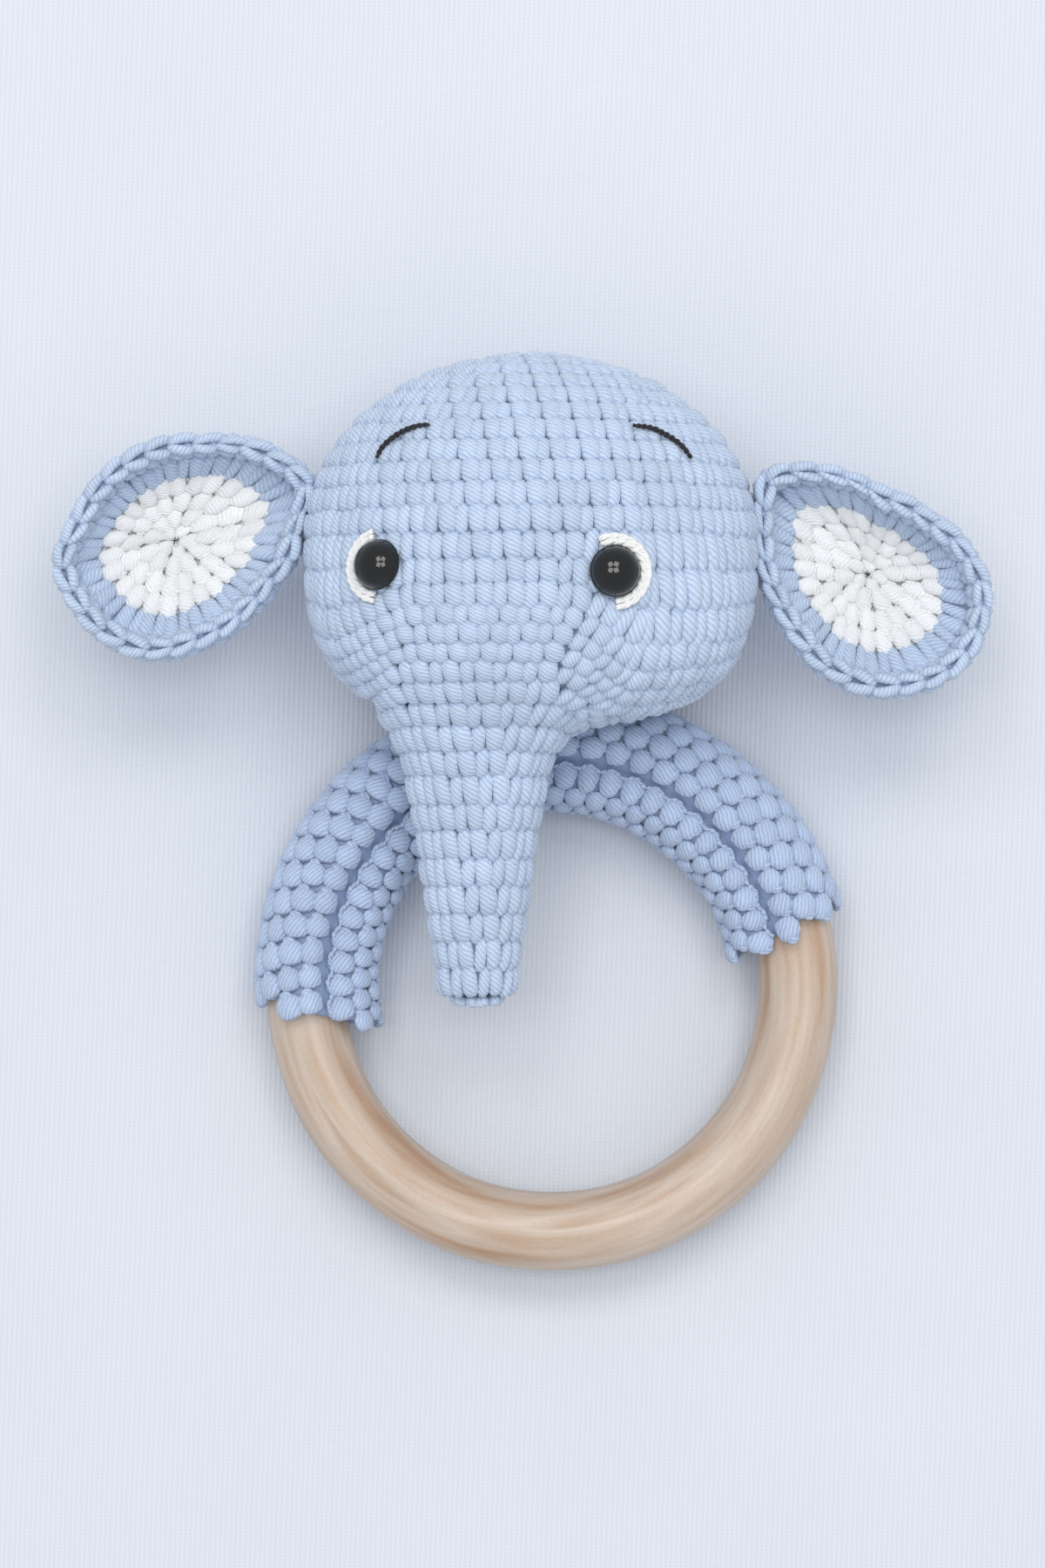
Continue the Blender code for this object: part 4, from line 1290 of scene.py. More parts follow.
def along_path(points: Array, spacing: float, closed: bool = False) -> tuple[Array, Array, Array]:
    """Even steps along a smooth path.

    Args:
        points: The path's points.
        spacing: Distance from step to step.
        closed: Whether the path runs back to its start.

    Returns:
        Places, headings and how far along each lies.
    """
    path = np.vstack((points, points[:1])) if closed else points
    for _ in range(3):
        middle = 0.5 * (path[1:] + path[:-1])
        cut = np.empty((2 * len(middle), 3))
        cut[0::2] = 0.5 * (path[:-1] + middle)
        cut[1::2] = 0.5 * (path[1:] + middle)
        ends = (path[:1], path[-1:])
        path = cut if closed else np.vstack((ends[0], cut, ends[1]))
    if closed:
        path = np.vstack((path, path[:1]))
    lengths = np.concatenate(((0.0,), np.cumsum(np.linalg.norm(np.diff(path, axis=0), axis=1))))
    steps = max(4, round(lengths[-1] / spacing))
    marks = np.linspace(0.0, lengths[-1], steps + 1)
    places = np.column_stack([np.interp(marks, lengths, path[:, i]) for i in range(3)])
    return places, unit(np.gradient(places, axis=0)), marks


@dataclass(frozen=True)
class TwistedThread:
    """A thread of plies twisted round each other, as a swept mesh."""

    radius: float
    plies: int = 3
    twist: float = 2.6 * MM
    sides: int = 7
    taper: float = 0.0

    def ply(
        self, bm: bmesh.types.BMesh, places: Array, ahead: Array, marks: Array, up: Array, turn: float
    ) -> None:
        """Sweeps one ply by extruding its end ring step by step."""
        strand = bm.verts.layers.float_vector.get("strand") or bm.verts.layers.float_vector.new("strand")
        tuck = bm.verts.layers.float.get("tuck") or bm.verts.layers.float.new("tuck")
        share = marks / marks[-1]
        slim = 1.0 - self.taper * (1.0 - np.sqrt(np.clip(np.sin(math.pi * share), 0.0, 1.0)))
        own = self.radius * (0.62 if self.plies > 1 else 1.0) * slim
        aside = unit(np.cross(ahead, up))
        over = np.cross(aside, ahead)
        spin = turn + math.tau * marks / self.twist
        reach = (self.radius * slim - own)[:, None]
        middle = places + reach * (np.cos(spin)[:, None] * aside + np.sin(spin)[:, None] * over)
        around = np.linspace(0.0, math.tau, self.sides, endpoint=False)
        ring = bmesh.ops.create_circle(bm, cap_ends=True, segments=self.sides, radius=1.0)["verts"]
        for step in range(len(marks)):
            if step:
                edges = {edge for vert in ring for edge in vert.link_edges if edge.other_vert(vert) in ring}
                edges = sorted(edges, key=lambda edge: edge.index)
                made = bmesh.ops.extrude_edge_only(bm, edges=edges)["geom"]
                old = ring
                fresh = {item for item in made if isinstance(item, bmesh.types.BMVert)}
                ring = [next(e.other_vert(v) for e in v.link_edges if e.other_vert(v) in fresh) for v in old]
            for vert, angle in zip(ring, around):
                offset = own[step] * (math.cos(angle) * aside[step] + math.sin(angle) * over[step])
                vert.co = middle[step] + offset
                vert[strand] = (own[step] * math.cos(angle), own[step] * math.sin(angle), marks[step])
                # Painted shade: the tuck attribute darkens the side of each ply that faces the surface under
                # the thread.
                vert[tuck] = 0.5 - 0.5 * math.sin(angle)
            bm.verts.index_update()
            bm.edges.index_update()
        bmesh.ops.contextual_create(bm, geom=ring)

    def make(
        self, name: str, paths: list[Array], up: Array, material: bpy.types.Material, closed: bool = False
    ) -> bpy.types.Object:
        """Makes one piece of one or more twisted threads.

        Args:
            name: The piece's name.
            paths: Each thread's route.
            up: A direction away from the surface that the threads lie on.
            material: The yarn.
            closed: Whether each route runs back to its start.

        Returns:
            The piece.
        """
        bm = bmesh.new()
        for path in paths:
            places, ahead, marks = along_path(path, 0.32 * MM, closed)
            for number in range(self.plies):
                self.ply(bm, places, ahead, marks, up, math.tau * number / self.plies)
        piece = link_mesh(name, bm, material)
        tones = np.zeros(len(piece.data.vertices), np.float32)
        piece.data.attributes.new("tone", "FLOAT", "POINT").data.foreach_set("value", tones)
        return piece


# ---------------------------------------------------------------- ring and sleeve


@dataclass
class WoodenRing:
    """The turned ring that a baby holds and bites."""

    finishes: Finishes
    centre: Array
    steps: int = 192
    sides: int = 40
    facet: float = 0.035 * MM

    def build(self) -> None:
        """Turns the ring, with the faint unevenness that sanding leaves."""
        low, high = node_box("wooden_ring")
        section = 0.5 * (high[2] - low[2])
        mean = 0.5 * (high[0] - low[0]) - section
        bm = bmesh.new()
        made = bmesh.ops.create_circle(bm, segments=self.sides, radius=section)
        stand = Matrix.Translation((mean, 0, 0)) @ Matrix.Rotation(math.pi / 2, 4, "X")
        bmesh.ops.transform(bm, matrix=stand, verts=made["verts"])
        bmesh.ops.spin(
            bm, geom=bm.verts[:] + bm.edges[:], cent=(0, 0, 0), axis=(0, 0, 1), angle=math.tau,
            steps=self.steps,
            use_merge=True,
        )
        bmesh.ops.remove_doubles(bm, verts=bm.verts[:], dist=0.001 * MM)

        def sand(points: Array) -> Array:
            heading = np.arctan2(points[:, 1], points[:, 0])
            radius = np.hypot(points[:, 0], points[:, 1])
            across = np.arctan2(points[:, 2], radius - mean)
            wave = np.sin(5.0 * heading + 3.0 * across) + np.sin(9.0 * heading - across)
            own = section + self.facet * wave
            radius = mean + own * np.cos(across)
            flat = np.column_stack((radius * np.cos(heading), radius * np.sin(heading), own * np.sin(across)))
            return flat + self.centre

        move_verts(bm, sand)
        settle(link_mesh("turned_ring", bm, self.finishes.wood), "ring", "beech_ring", "wooden_ring")


@dataclass
class Sleeve:
    """The crocheted sleeve round the upper half of the ring, laced in a groove near its inner side."""

    finishes: Finishes
    centre: Array
    stitch: Stitch
    mean_radius: float = 28.9 * MM
    section_radius: float = 7.45 * MM
    start: tuple[float, float] = (12.6, 3.6)
    end: tuple[float, float] = (187.6, -5.0)
    rows: int = 15
    stitches: int = 29
    groove_at: float = math.radians(113.0)
    groove_width: float = math.radians(14.0)
    groove_depth: float = 1.7 * MM
    groove_gap: float = math.radians(8.0)
    lacing_swing: float = math.radians(5.0)
    inner_depth: float = 0.7 * MM
    margin: float = math.radians(1.6)

    def surface(self, along: Array, around: Array) -> Array:
        """A point of the sleeve from its turn round the ring's axis and its turn round the ring's bar."""
        away = np.angle(np.exp(1j * (around - self.groove_at + 0.5 * self.groove_gap))) / self.groove_width
        radius = self.section_radius - self.groove_depth * np.exp(-away * away)
        radius = radius + 0.25 * MM * np.sin(3.0 * along + 1.0) * np.cos(around)
        reach = self.mean_radius + radius * np.cos(around)
        rise = self.centre[2] + radius * np.sin(around)
        return np.stack((
            self.centre[0] + reach * np.cos(along),
            self.centre[1] + reach * np.sin(along),
            np.maximum(rise, 0.9 * MM),
        ), axis=-1)

    def ends(self, around: Array) -> tuple[Array, Array]:
        """Where the sleeve starts and ends, slanted across its width."""
        first = np.radians(self.start[0] + self.start[1] * np.cos(around))
        last = np.radians(self.end[0] + self.end[1] * np.cos(around))
        return first, last

    def build(self) -> None:
        """Lays the sleeve's stitches, with a gap along the groove, then its inner side and the lacing."""
        random = np.random.default_rng(SEED + 2)
        cells = []
        pitch = (math.tau - self.groove_gap) / self.rows
        for row in range(self.rows):
            around = self.groove_at - self.groove_gap + pitch * (row - self.rows)
            first, last = self.ends(np.array(around + 0.5 * pitch))
            width = (float(last) - float(first)) / self.stitches
            slip = 0.5 * (row % 2)
            for number in range(self.stitches):
                along = float(first) + width * (number + 0.5 + (slip - 0.25) * 0.9)
                cell = (along, around, width * random.normal(1.0, 0.05), pitch * random.normal(1.0, 0.04))
                cells.append(cell)
        places = lay_on_sheet(self.stitch, np.array(cells), self.surface, random)
        piece = self.stitch.lay("sleeve_crochet", places, self.finishes.sleeve_blue, SEED + 3)
        settle(piece, "sleeve", "blue_yarn", "ring_sleeve")
        self.build_inner_side()
        self.build_lacing()

    def build_lacing(self) -> None:
        """Laces the sleeve's two long edges together with yarn that crosses the groove."""
        first, last = self.ends(np.array(self.groove_at))
        crossings = 2 * self.stitches
        along = np.linspace(float(first) + self.margin, float(last) - self.margin, crossings)
        side = np.where(np.arange(crossings) % 2, 1.0, -1.0)
        path = self.surface(along, self.groove_at - 0.5 * self.groove_gap + self.lacing_swing * side)
        thread = TwistedThread(0.3 * MM, plies=2, twist=1.8 * MM, sides=6)
        up = np.array((0.0, 0.0, 1.0))
        piece = thread.make("sleeve_lacing_yarn", [path], up, self.finishes.sleeve_blue)
        settle(piece, "sleeve", "blue_yarn", "sleeve_lacing")

    def build_inner_side(self) -> None:
        """Turns the tube of fabric under the stitches, coloured in painted shade."""
        bm = bmesh.new()
        made = bmesh.ops.create_circle(bm, segments=48, radius=1.0)
        stand = Matrix.Translation((3.0, 0, 0)) @ Matrix.Rotation(math.pi / 2, 4, "X")
        bmesh.ops.transform(bm, matrix=stand, verts=made["verts"])
        bmesh.ops.spin(
            bm, geom=bm.verts[:] + bm.edges[:], cent=(0, 0, 0), axis=(0, 0, 1), angle=1.0, steps=96
        )

        def wrap(points: Array) -> Array:
            share = np.arctan2(points[:, 1], points[:, 0])
            around = np.arctan2(points[:, 2], np.hypot(points[:, 0], points[:, 1]) - 3.0)
            first, last = self.ends(around)
            along = first + self.margin + (last - first - 2.0 * self.margin) * share
            outer = self.surface(along, around)
            core = np.stack((
                self.centre[0] + self.mean_radius * np.cos(along),
                self.centre[1] + self.mean_radius * np.sin(along),
                np.full_like(along, self.centre[2]),
            ), axis=-1)
            return outer - self.inner_depth * unit(outer - core)

        move_verts(bm, wrap)
        inner = link_mesh("sleeve_inner_side", bm, self.finishes.sleeve_inner_painted_shade)
        settle(inner, "sleeve", "blue_yarn")
        thick = inner.modifiers.new("fabric", "SOLIDIFY")
        thick.thickness = 0.9 * MM
        thick.offset = -1.0


def lay_on_sheet(
    stitch: Stitch, cells: Array, surface: Callable[[Array, Array], Array], random: np.random.Generator,
    rough: float = 0.08 * MM, depth: float = 1.0,
) -> Array:
    """Lays a stitch over the cells of a surface that is given by two numbers.

    Args:
        stitch: The stitch.
        cells: For each stitch the two numbers of its place and how far it reaches in each.
        surface: Gives the point for two numbers.
        random: Source of the small differences between stitches.
        rough: How unevenly high the stitches stand.
        depth: How deep the stitches are for their width.

    Returns:
        Every stitch's points in place.
    """
    points = stitch.points
    first = cells[:, 0, None] + points[None, :, 0] / STITCH_WIDTH * cells[:, 2, None]
    second = cells[:, 1, None] + points[None, :, 1] / ROW_HEIGHT * cells[:, 3, None]
    step = 1e-3
    across = surface(first + step, second) - surface(first - step, second)
    up = surface(first, second + step) - surface(first, second - step)
    normal = unit(np.cross(across, up))
    turned = np.sign(cells[:, 2] * cells[:, 3])[:, None, None]
    lift = depth * points[None, :, 2] + random.normal(0.0, rough, len(cells))[:, None]
    return surface(first, second) + normal * turned * lift[..., None]


# ---------------------------------------------------------------- ears


@dataclass
class Ear:
    """A cupped ear: white in the middle, two blue rounds up its wall, a chain edge and a pinched root."""

    side: Side
    finishes: Finishes
    stitch: Stitch
    white_stitch: Stitch
    edge_stitch: Stitch
    middle: Array
    hollow: Array
    outline: tuple[tuple[float, float], ...]
    depth: float = 7.0 * MM
    wall: float = 2.8 * MM
    rim: float = 2.4 * MM
    round_height: float = 3.1 * MM
    white_turn: float = math.radians(51.0)
    white_scale: float = 0.72
    white_fullness: float = 1.14
    edge_radius: float = 1.35 * MM
    samples: int = 360
    rounding: int = 9

    def __post_init__(self) -> None:
        """Rounds the outline and spaces it evenly, as turns of the whole way round."""
        headings = np.linspace(0.0, math.tau, self.samples, endpoint=False)
        points = ((math.radians(turn) % math.tau, radius * MM) for turn, radius in self.outline)
        table = np.array(sorted(points))
        reach = np.interp(headings, table[:, 0], table[:, 1], period=math.tau)
        window = np.hanning(2 * self.rounding + 1)
        spread = np.pad(reach, self.rounding, mode="wrap")
        reach = np.convolve(spread, window / window.sum(), mode="valid")
        self.headings = np.append(headings, math.tau)
        self.reach = np.append(reach, reach[0])
        points = self.reach[:, None] * np.stack((np.cos(self.headings), np.sin(self.headings)), axis=-1)
        steps = np.linalg.norm(np.diff(points, axis=0), axis=1)
        self.way = np.concatenate(((0.0,), np.cumsum(steps)))
        self.perimeter = self.way[-1]
        self.way = self.way / self.perimeter

    def on_outline(self, turn: Array, inset: float) -> Array:
        """X and Y from the middle to the outline drawn in by an inset, at a share of the way round."""
        heading = np.interp(np.mod(turn, 1.0), self.way, self.headings)
        reach = np.interp(heading, self.headings, self.reach) - inset
        return np.stack((reach * np.cos(heading), reach * np.sin(heading)), axis=-1)

    @staticmethod
    def spread(tilt: Array) -> Array:
        """Share of the way out to the outline at a tilt of the bowl, whose rim stands upright."""
        return np.sin(np.minimum(tilt, 0.5 * math.pi))

    def bowl(self, inset: float) -> tuple[Callable[[Array, Array], Array], Array, Array]:
        """The ear's bowl at an inset from its outside.

        Args:
            inset: Depth under the outside.

        Returns:
            The surface for a turn and an arc from the middle, and tables of arcs and of the tilts they reach.
        """
        depth = self.depth - inset
        tilts = np.linspace(0.0, math.acos(-min(self.rim / depth, 0.75)), 60)
        mean = self.reach.mean() - inset
        steps = np.hypot(mean * np.diff(self.spread(tilts)), depth * np.diff(np.cos(tilts)))
        arcs = np.concatenate(((0.0,), np.cumsum(steps)))

        def surface(turn: Array, arc: Array) -> Array:
            tilt = np.interp(np.abs(arc), arcs, tilts) + np.maximum(np.abs(arc) - arcs[-1], 0.0) / depth
            edge = self.on_outline(turn, inset)
            flat = self.middle[:2] + self.hollow + (edge - self.hollow) * self.spread(tilt)[..., None]
            rise = self.middle[2] - depth * np.cos(tilt)
            return np.concatenate((flat, rise[..., None]), axis=-1)

        return surface, arcs, tilts

    def rounds(
        self, stitch: Stitch, inset: float, first: float, last: float, inward: bool, seed: int,
        scale: float = 1.0, fullness: float = 1.0,
    ) -> Array:
        """Stitches in rounds over one side of the bowl.

        Args:
            stitch: The stitch.
            inset: Depth of the side under the bowl's outside.
            first: Arc from the middle of the bowl to the first round.
            last: Arc to the end of the last round.
            inward: Whether the side faces into the bowl.
            seed: Start of the stitches' small differences.
            scale: Size of the stitches.
            fullness: How far the stitches crowd over their neighbours.

        Returns:
            Every stitch's points in place.
        """
        surface, arcs, tilts = self.bowl(inset)
        random = np.random.default_rng(seed)
        cells = []
        row_count = max(1, round((last - first) / (self.round_height * scale)))
        height = (last - first) / row_count
        for row in range(row_count):
            arc = first + height * row
            around = self.perimeter * math.sin(float(np.interp(arc + 0.5 * height, arcs, tilts)))
            count = max(5, round(around / (STITCH_WIDTH * scale)))
            width = (-fullness if inward else fullness) / count
            for number in range(count):
                turn = (number + 0.35 * row + random.normal(0.0, 0.06)) / count
                cells.append((turn, arc + random.normal(0.0, 0.05) * height, width, fullness * height))
        return lay_on_sheet(stitch, np.array(cells), surface, random, depth=0.25 + 0.75 * scale)

    def rope(self, turn: Array, around: Array) -> Array:
        """A point of the rim's rope from its turn round the ear and its turn round the rope."""
        edge = self.on_outline(turn, 0.5 * self.wall)
        outward = unit(edge)
        flat = self.middle[:2] + edge + self.edge_radius * np.cos(around)[..., None] * outward
        rise = self.middle[2] + self.rim + self.edge_radius * (np.sin(around) - 0.3)
        return np.concatenate((flat, rise[..., None]), axis=-1)

    def build(self) -> None:
        """Makes the ear's two sides, its edge and its inner side."""
        name = self.side.value
        _, arcs, tilts = self.bowl(self.wall)
        _, outer_arcs, _ = self.bowl(0.0)
        border = float(np.interp(self.white_turn, tilts, arcs))
        white = self.rounds(
            self.white_stitch, self.wall, 0.1 * MM, border, True, SEED + 4, self.white_scale,
            self.white_fullness,
        )
        piece = self.white_stitch.lay(f"ear_white_{name}", white, self.finishes.white, SEED + 5)
        settle(piece, f"ear_{name}", "white_yarn", f"ear_lining_{name}")
        wall = self.rounds(self.stitch, self.wall, border, arcs[-1], True, SEED + 6)
        back = self.rounds(self.stitch, 0.0, 0.15 * MM, outer_arcs[-1] - 0.5 * MM, False, SEED + 7)
        both = np.concatenate((wall, back))
        blue = self.stitch.lay(f"ear_crochet_{name}", both, self.finishes.blue, SEED + 8)
        settle(blue, f"ear_{name}", "blue_yarn", f"ear_back_{name}")
        self.build_edge(name)
        self.build_inner_side(name, border)

    def build_edge(self, name: str) -> None:
        """Lays the chain edge along the rim."""
        random = np.random.default_rng(SEED + 9)
        count = round(self.perimeter / (3.3 * MM))
        cells = [
            (number / count, math.radians(30.0 + random.normal(0.0, 5.0)), 1.0 / count, math.radians(125.0))
            for number in range(count)
        ]
        places = lay_on_sheet(self.edge_stitch, np.array(cells), self.rope, random, rough=0.12 * MM)
        piece = self.edge_stitch.lay(f"ear_chain_{name}", places, self.finishes.blue, SEED + 10)
        settle(piece, f"ear_{name}", "blue_yarn", f"ear_edge_{name}")

    def build_inner_side(self, name: str, border: float) -> None:
        """Turns the wall between the two sides' stitches as one closed bowl.

        Args:
            name: The ear's side.
            border: Arc at which the white rounds end.
        """
        depth = 0.75 * MM
        outer, outer_arcs, _ = self.bowl(depth)
        inner, inner_arcs, _ = self.bowl(self.wall - depth)
        steps = 14
        bm = turn_profile([(0.02 + step, 0.0) for step in range(2 * steps)], 72, 1e-5)
        white_steps = (2.0 * steps - 1.0) - (border / inner_arcs[-1]) * (steps - 1.0)
        for face in bm.faces:
            face.material_index = int(face.calc_center_median().to_2d().length > white_steps)

        def wrap(points: Array) -> Array:
            step = np.round(np.hypot(points[:, 0], points[:, 1]) - 0.02)
            turn = np.arctan2(points[:, 1], points[:, 0]) / math.tau
            share = np.minimum(step, 2 * steps - 1 - step) / (steps - 1.0)
            outside, inside = outer(turn, share * outer_arcs[-1]), inner(turn, share * inner_arcs[-1])
            return np.where((step < steps)[:, None], outside, inside)

        move_verts(bm, wrap)
        bmesh.ops.holes_fill(bm, edges=[edge for edge in bm.edges if edge.is_boundary])
        # Both finishes carry painted shade: darkened blue under the blue stitches, darkened white under the
        # white ones.
        piece = link_mesh(f"ear_inner_side_{name}", bm, self.finishes.blue_inner_painted_shade, self.finishes.white_inner_painted_shade)
        settle(piece, f"ear_{name}", "blue_yarn")


LEFT_EAR_OUTLINE = (
    (186.0, 15.2), (167.0, 13.4), (137.5, 12.9), (110.0, 13.1), (78.0, 13.9), (53.0, 16.2), (36.0, 17.9),
    (24.0, 18.8), (11.0, 15.6), (-4.7, 14.6), (-19.0, 12.9), (-40.0, 12.2), (-76.0, 12.3), (-104.0, 13.8),
    (-126.5, 14.3), (-150.0, 14.6),
)
RIGHT_EAR_OUTLINE = (
    (134.0, 20.8), (112.0, 16.7), (88.0, 12.7), (53.0, 11.8), (19.0, 12.9), (-1.0, 13.6), (-26.0, 13.6),
    (-46.0, 13.4), (-72.0, 12.5), (-94.0, 12.2), (-116.0, 11.9), (-149.0, 11.9), (-174.0, 13.2),
    (172.0, 14.7),
    (147.0, 17.9),
)


# ---------------------------------------------------------------- eyes, brows and seams


@dataclass
class Face:
    """Safety eyes with their washers, the white and black embroidery, and the seams that join the toy."""

    finishes: Finishes
    form: StuffedForm
    eye_radius: float = 3.0 * MM
    eye_height: float = 2.3 * MM
    eye_base: float = 0.45 * MM
    shank_radius: float = 1.15 * MM
    shank_length: float = 7.6 * MM
    white_radius: float = 3.42 * MM
    white_arcs: dict = field(default_factory=lambda: {Side.LEFT: (100.0, 262.0), Side.RIGHT: (-88.0, 118.0)})
    brows: dict = field(default_factory=lambda: {
        Side.LEFT: ((-17.6, 8.6), (-17.1, 9.9), (-15.2, 11.4), (-13.2, 12.2), (-11.6, 12.3)),
        Side.RIGHT: ((11.6, 12.2), (13.6, 12.1), (15.2, 11.4), (17.2, 10.2), (18.3, 8.6)),
    })

    seam_radius: float = 0.55 * MM
    neck_half_angle: float = math.radians(24.0)
    neck_turns: int = 9
    neck_low: tuple[float, float] = (36.6 * MM, 1.5 * MM)
    neck_high: tuple[float, float] = (35.7 * MM, 2.7 * MM)

    def on_face(self, x: Array, y: Array, rise: float) -> Array:
        """Points above the face at a height over its stitches."""
        height = close_in(
            np.full_like(x, 20.0 * MM), np.full_like(x, 60.0 * MM), 26,
            lambda middle: self.form.whole(np.stack((x, y, middle), axis=-1)) < 0.0,
        )
        points = np.stack((x, y, height), axis=-1)
        return points + rise * unit(self.form.slope(self.form.whole, points))

    def eye_frame(self, side: Side) -> Matrix:
        """Middle of an eye on the face, with Z out of the face and X level."""
        node = frame["nodes"][f"eye_{side.value}"]
        places = np.array([node.matrix_world @ vert.co for vert in node.data.vertices], float)
        middle = places.mean(0)
        reach = np.linalg.norm(places - middle, axis=1)
        tip = places[reach > reach.max() - 0.3 * MM].mean(0)
        normal = Vector(middle - tip).normalized()
        aside = normal.cross(Vector((1.0, 0.0, 0.0))).normalized()
        across = aside.cross(normal).normalized()
        turn = Matrix((across, aside, normal)).transposed().to_4x4()
        return Matrix.Translation(Vector(tip) + normal * self.shank_length) @ turn

    def build_eye(self, side: Side) -> None:
        """Turns one domed eye with its rolled rim and ribbed shank."""
        base, rim = self.eye_base, 0.3 * MM
        profile = [(0.0, -self.shank_length), (0.7 * self.shank_radius, -self.shank_length)]
        for notch in range(8):
            height = -self.shank_length + 0.6 * MM + notch * 0.75 * MM
            profile += [(self.shank_radius, height), (self.shank_radius, height + 0.35 * MM),
                        (0.86 * self.shank_radius, height + 0.45 * MM)]
        profile += [(self.shank_radius, base), (0.9 * self.eye_radius, base),
                    (0.985 * self.eye_radius, base + 0.08 * MM),
                    (self.eye_radius, base + 0.6 * rim), (0.985 * self.eye_radius, base + rim),
                    (0.955 * self.eye_radius, base + 1.25 * rim)]
        dome = 0.945 * self.eye_radius
        for step in range(1, 19):
            turn = 0.5 * math.pi * step / 18
            profile.append((dome * math.cos(turn), base + rim + self.eye_height * math.sin(turn)))
        bm = turn_profile(profile, 56, 0.001 * MM)
        bmesh.ops.transform(bm, matrix=self.eye_frame(side), verts=bm.verts[:])
        eye = link_mesh(f"safety_eye_{side.value}", bm, self.finishes.eye)
        settle(eye, "head", "eye_plastic", f"eye_{side.value}")

    def build_white(self, side: Side) -> None:
        """Sews the white crescent round an eye: two strands that fan out towards their ends."""
        place = self.eye_frame(side)
        first, last = self.white_arcs[side]
        turns = np.radians(np.linspace(first, last, 17))
        fan = np.sin(np.linspace(0.0, math.pi, 17))
        paths = []
        for strand in range(2):
            reach = self.white_radius + strand * (0.7 - 0.2 * fan) * MM
            ring = np.stack((reach * np.cos(turns), reach * np.sin(turns), np.zeros_like(turns)), axis=-1)
            flat = np.array([place @ Vector(point) for point in ring])
            path = self.on_face(flat[:, 0], flat[:, 1], 0.4 * MM)
            paths.append(path)
        normal = np.array(place.to_3x3() @ Vector((0.0, 0.0, 1.0)))
        thread = TwistedThread(0.5 * MM, plies=3, twist=3.4 * MM, taper=0.4)
        piece = thread.make(f"white_crescent_{side.value}", paths, normal, self.finishes.white)
        settle(piece, "head", "white_yarn", f"eye_white_{side.value}")

    def build_brow(self, side: Side) -> None:
        """Sews one brow in black thread."""
        points = np.array(self.brows[side]) * MM
        path = self.on_face(points[:, 0], points[:, 1], 0.55 * MM)
        thread = TwistedThread(0.4 * MM, plies=2, twist=1.5 * MM, taper=0.4)
        up = np.array((0.0, 0.0, 1.0))
        piece = thread.make(f"brow_thread_{side.value}", [path], up, self.finishes.black_thread)
        settle(piece, "head", "black_thread", f"brow_{side.value}")

    def build_ear_seam(self, side: Side) -> None:
        """Sews an ear's root to the side of the head with a run of overcast yarn."""
        low, high = node_box(f"ear_seam_{side.value}")
        y = np.linspace(low[1] + self.seam_radius, high[1] - self.seam_radius, 9)
        z = np.full_like(y, 0.5 * (low[2] + high[2])) + 0.35 * MM * np.where(np.arange(9) % 2, 1.0, -1.0)
        sign = 1.0 if side is Side.RIGHT else -1.0
        reach = close_in(
            np.zeros_like(y), np.full_like(y, 40.0 * MM), 26,
            lambda middle: self.form.head(np.stack((sign * middle, y, z), axis=-1)) < 0.0,
        )
        path = np.stack((sign * (reach + 0.5 * MM), y, z), axis=-1)
        thread = TwistedThread(self.seam_radius, plies=3, twist=2.4 * MM)
        out = np.array((sign, 0.0, 0.0))
        piece = thread.make(f"ear_sewing_{side.value}", [path], out, self.finishes.blue)
        settle(piece, "head", "blue_yarn", f"ear_seam_{side.value}")

    def build_neck_seam(self) -> None:
        """Sews the back of the head to the sleeve with a zigzag of yarn."""
        swing = np.linspace(-self.neck_half_angle, self.neck_half_angle, 2 * self.neck_turns + 1)
        turns = math.pi / 2 + swing
        odd = np.arange(2 * self.neck_turns + 1) % 2 == 1
        reach = np.where(odd, self.neck_low[0], self.neck_high[0])
        rise = np.where(odd, self.neck_low[1], self.neck_high[1])
        centre = self.form.ring_centre
        path = np.stack((centre[0] + reach * np.cos(turns), centre[1] + reach * np.sin(turns), rise), axis=-1)
        thread = TwistedThread(0.5 * MM, plies=3, twist=2.2 * MM)
        piece = thread.make("neck_sewing", [path], np.array((0.0, 0.0, -1.0)), self.finishes.blue)
        settle(piece, "head", "blue_yarn", "neck_seam_yarn")

    def build(self) -> None:
        """Makes the eyes, the embroidery and the seams, and dresses the hidden plastics."""
        for side in Side:
            self.build_eye(side)
            self.build_white(side)
            self.build_brow(side)
            self.build_ear_seam(side)
        self.build_neck_seam()
        dress = {"eye_washer": self.finishes.washer, "rattle_shell": self.finishes.rattle,
                 "rattle_bead": self.finishes.bead}
        for name, node in frame["nodes"].items():
            for start, material in dress.items():
                if name.startswith(start):
                    node.data.materials.clear()
                    node.data.materials.append(material)


# ---------------------------------------------------------------- main


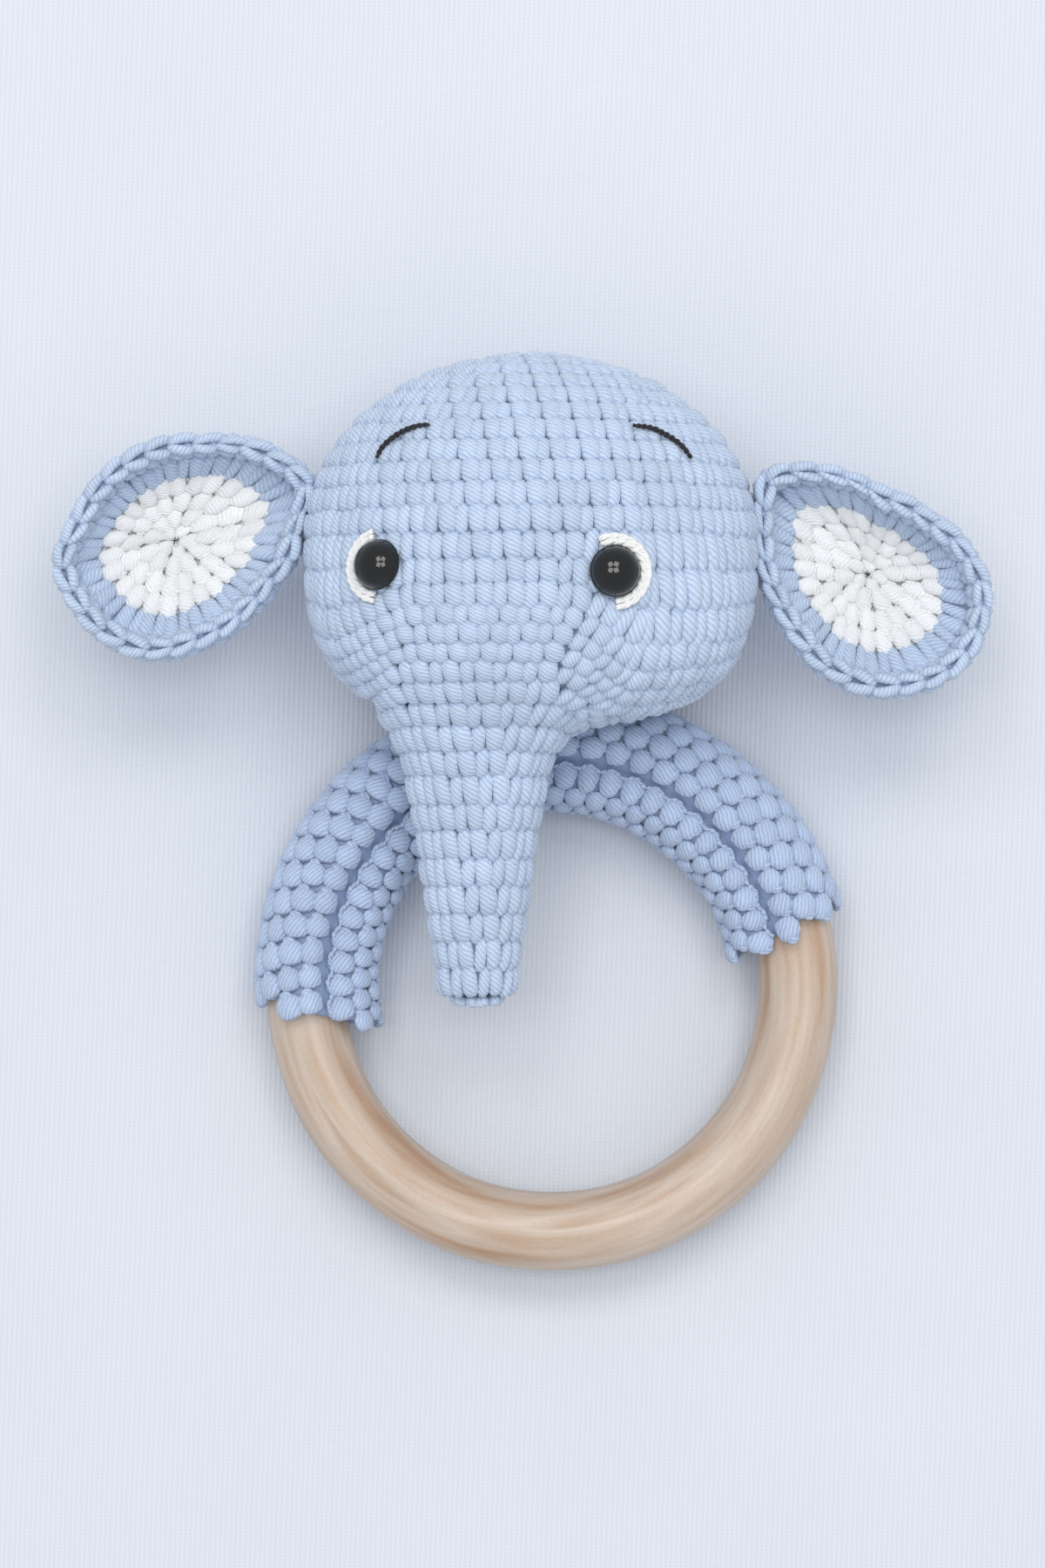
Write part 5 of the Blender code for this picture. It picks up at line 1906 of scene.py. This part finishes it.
@dataclass
class Stage:
    """Plain canvas floor, a four-paned window beyond the crown, and the camera above the toy."""

    view_centre: tuple[float, float] = (-1.0 * MM, -29.0 * MM)
    view_height: float = 191.5 * MM
    ring_height: float = 7.7 * MM
    camera_distance: float = 592.0 * MM
    sensor: float = 24.0

    def build(self) -> None:
        """Lays the floor and sets up the light and the camera."""
        floor = bmesh.new()
        bmesh.ops.create_grid(floor, x_segments=8, y_segments=8, size=1.5)
        piece = link_mesh("canvas_floor", floor, CanvasFloor().material())
        if piece.data.polygons[0].normal.z < 0.0:
            piece.data.flip_normals()

        camera = bpy.data.cameras.new("camera")
        camera.sensor_fit = "VERTICAL"
        camera.sensor_height = self.sensor
        camera.lens = self.sensor * self.camera_distance / self.view_height
        camera.clip_start, camera.clip_end = 0.01, 10.0
        holder = bpy.data.objects.new("camera", camera)
        holder.location = (*self.view_centre, self.ring_height + self.camera_distance)
        bpy.context.scene.collection.objects.link(holder)
        bpy.context.scene.camera = holder

        for across in (-0.19, 0.19):
            for up in (-0.19, 0.19):
                place = (across, 0.26 + up, 0.95 - 0.3 * up)
                self.add_light(f"window_pane_{across}_{up}", place, 0.3, 1.55, "FFFDF8")
        world = bpy.data.worlds.new("studio")
        world.use_nodes = True
        world.node_tree.nodes["Background"].inputs["Color"].default_value = to_linear("EDF1F8")
        world.node_tree.nodes["Background"].inputs["Strength"].default_value = 0.82
        bpy.context.scene.world = world
        bpy.context.scene.view_settings.view_transform = "Standard"

    def add_light(
        self, name: str, place: tuple[float, float, float], size: float, power: float, tint: str
    ) -> None:
        """Adds a square soft light that faces the toy."""
        lamp = bpy.data.lights.new(name, "AREA")
        lamp.size = size
        lamp.energy = power
        lamp.color = to_linear(tint)[:3]
        holder = bpy.data.objects.new(name, lamp)
        target = Vector((*self.view_centre, 0.0))
        holder.location = target + Vector(place)
        holder.rotation_euler = (-Vector(place)).to_track_quat("-Z", "Y").to_euler()
        bpy.context.scene.collection.objects.link(holder)


def main() -> None:
    """Makes the stage and every sub-assembly in order."""
    logging.basicConfig(level=logging.INFO, format="%(message)s")
    Stage().build()
    form = StuffedForm()
    finishes = make_finishes(form.ring_centre)
    stitch = single_crochet()
    HeadAndTrunk(finishes, form, RowField(form), stitch).build()
    WoodenRing(finishes, form.ring_centre).build()
    Sleeve(finishes, form.ring_centre, bobbly_crochet()).build()
    knob, edge = bobbly_crochet(), chain_edge()
    left = np.array((-42.1, -1.0, 22.0)) * MM, np.array((-0.6, 1.2)) * MM
    right = np.array((41.5, -6.5, 22.0)) * MM, np.array((-1.0, 2.7)) * MM
    Ear(Side.LEFT, finishes, stitch, knob, edge, *left, LEFT_EAR_OUTLINE).build()
    Ear(Side.RIGHT, finishes, stitch, knob, edge, *right, RIGHT_EAR_OUTLINE).build()
    Face(finishes, form).build()


if __name__ == "__main__":
    main()
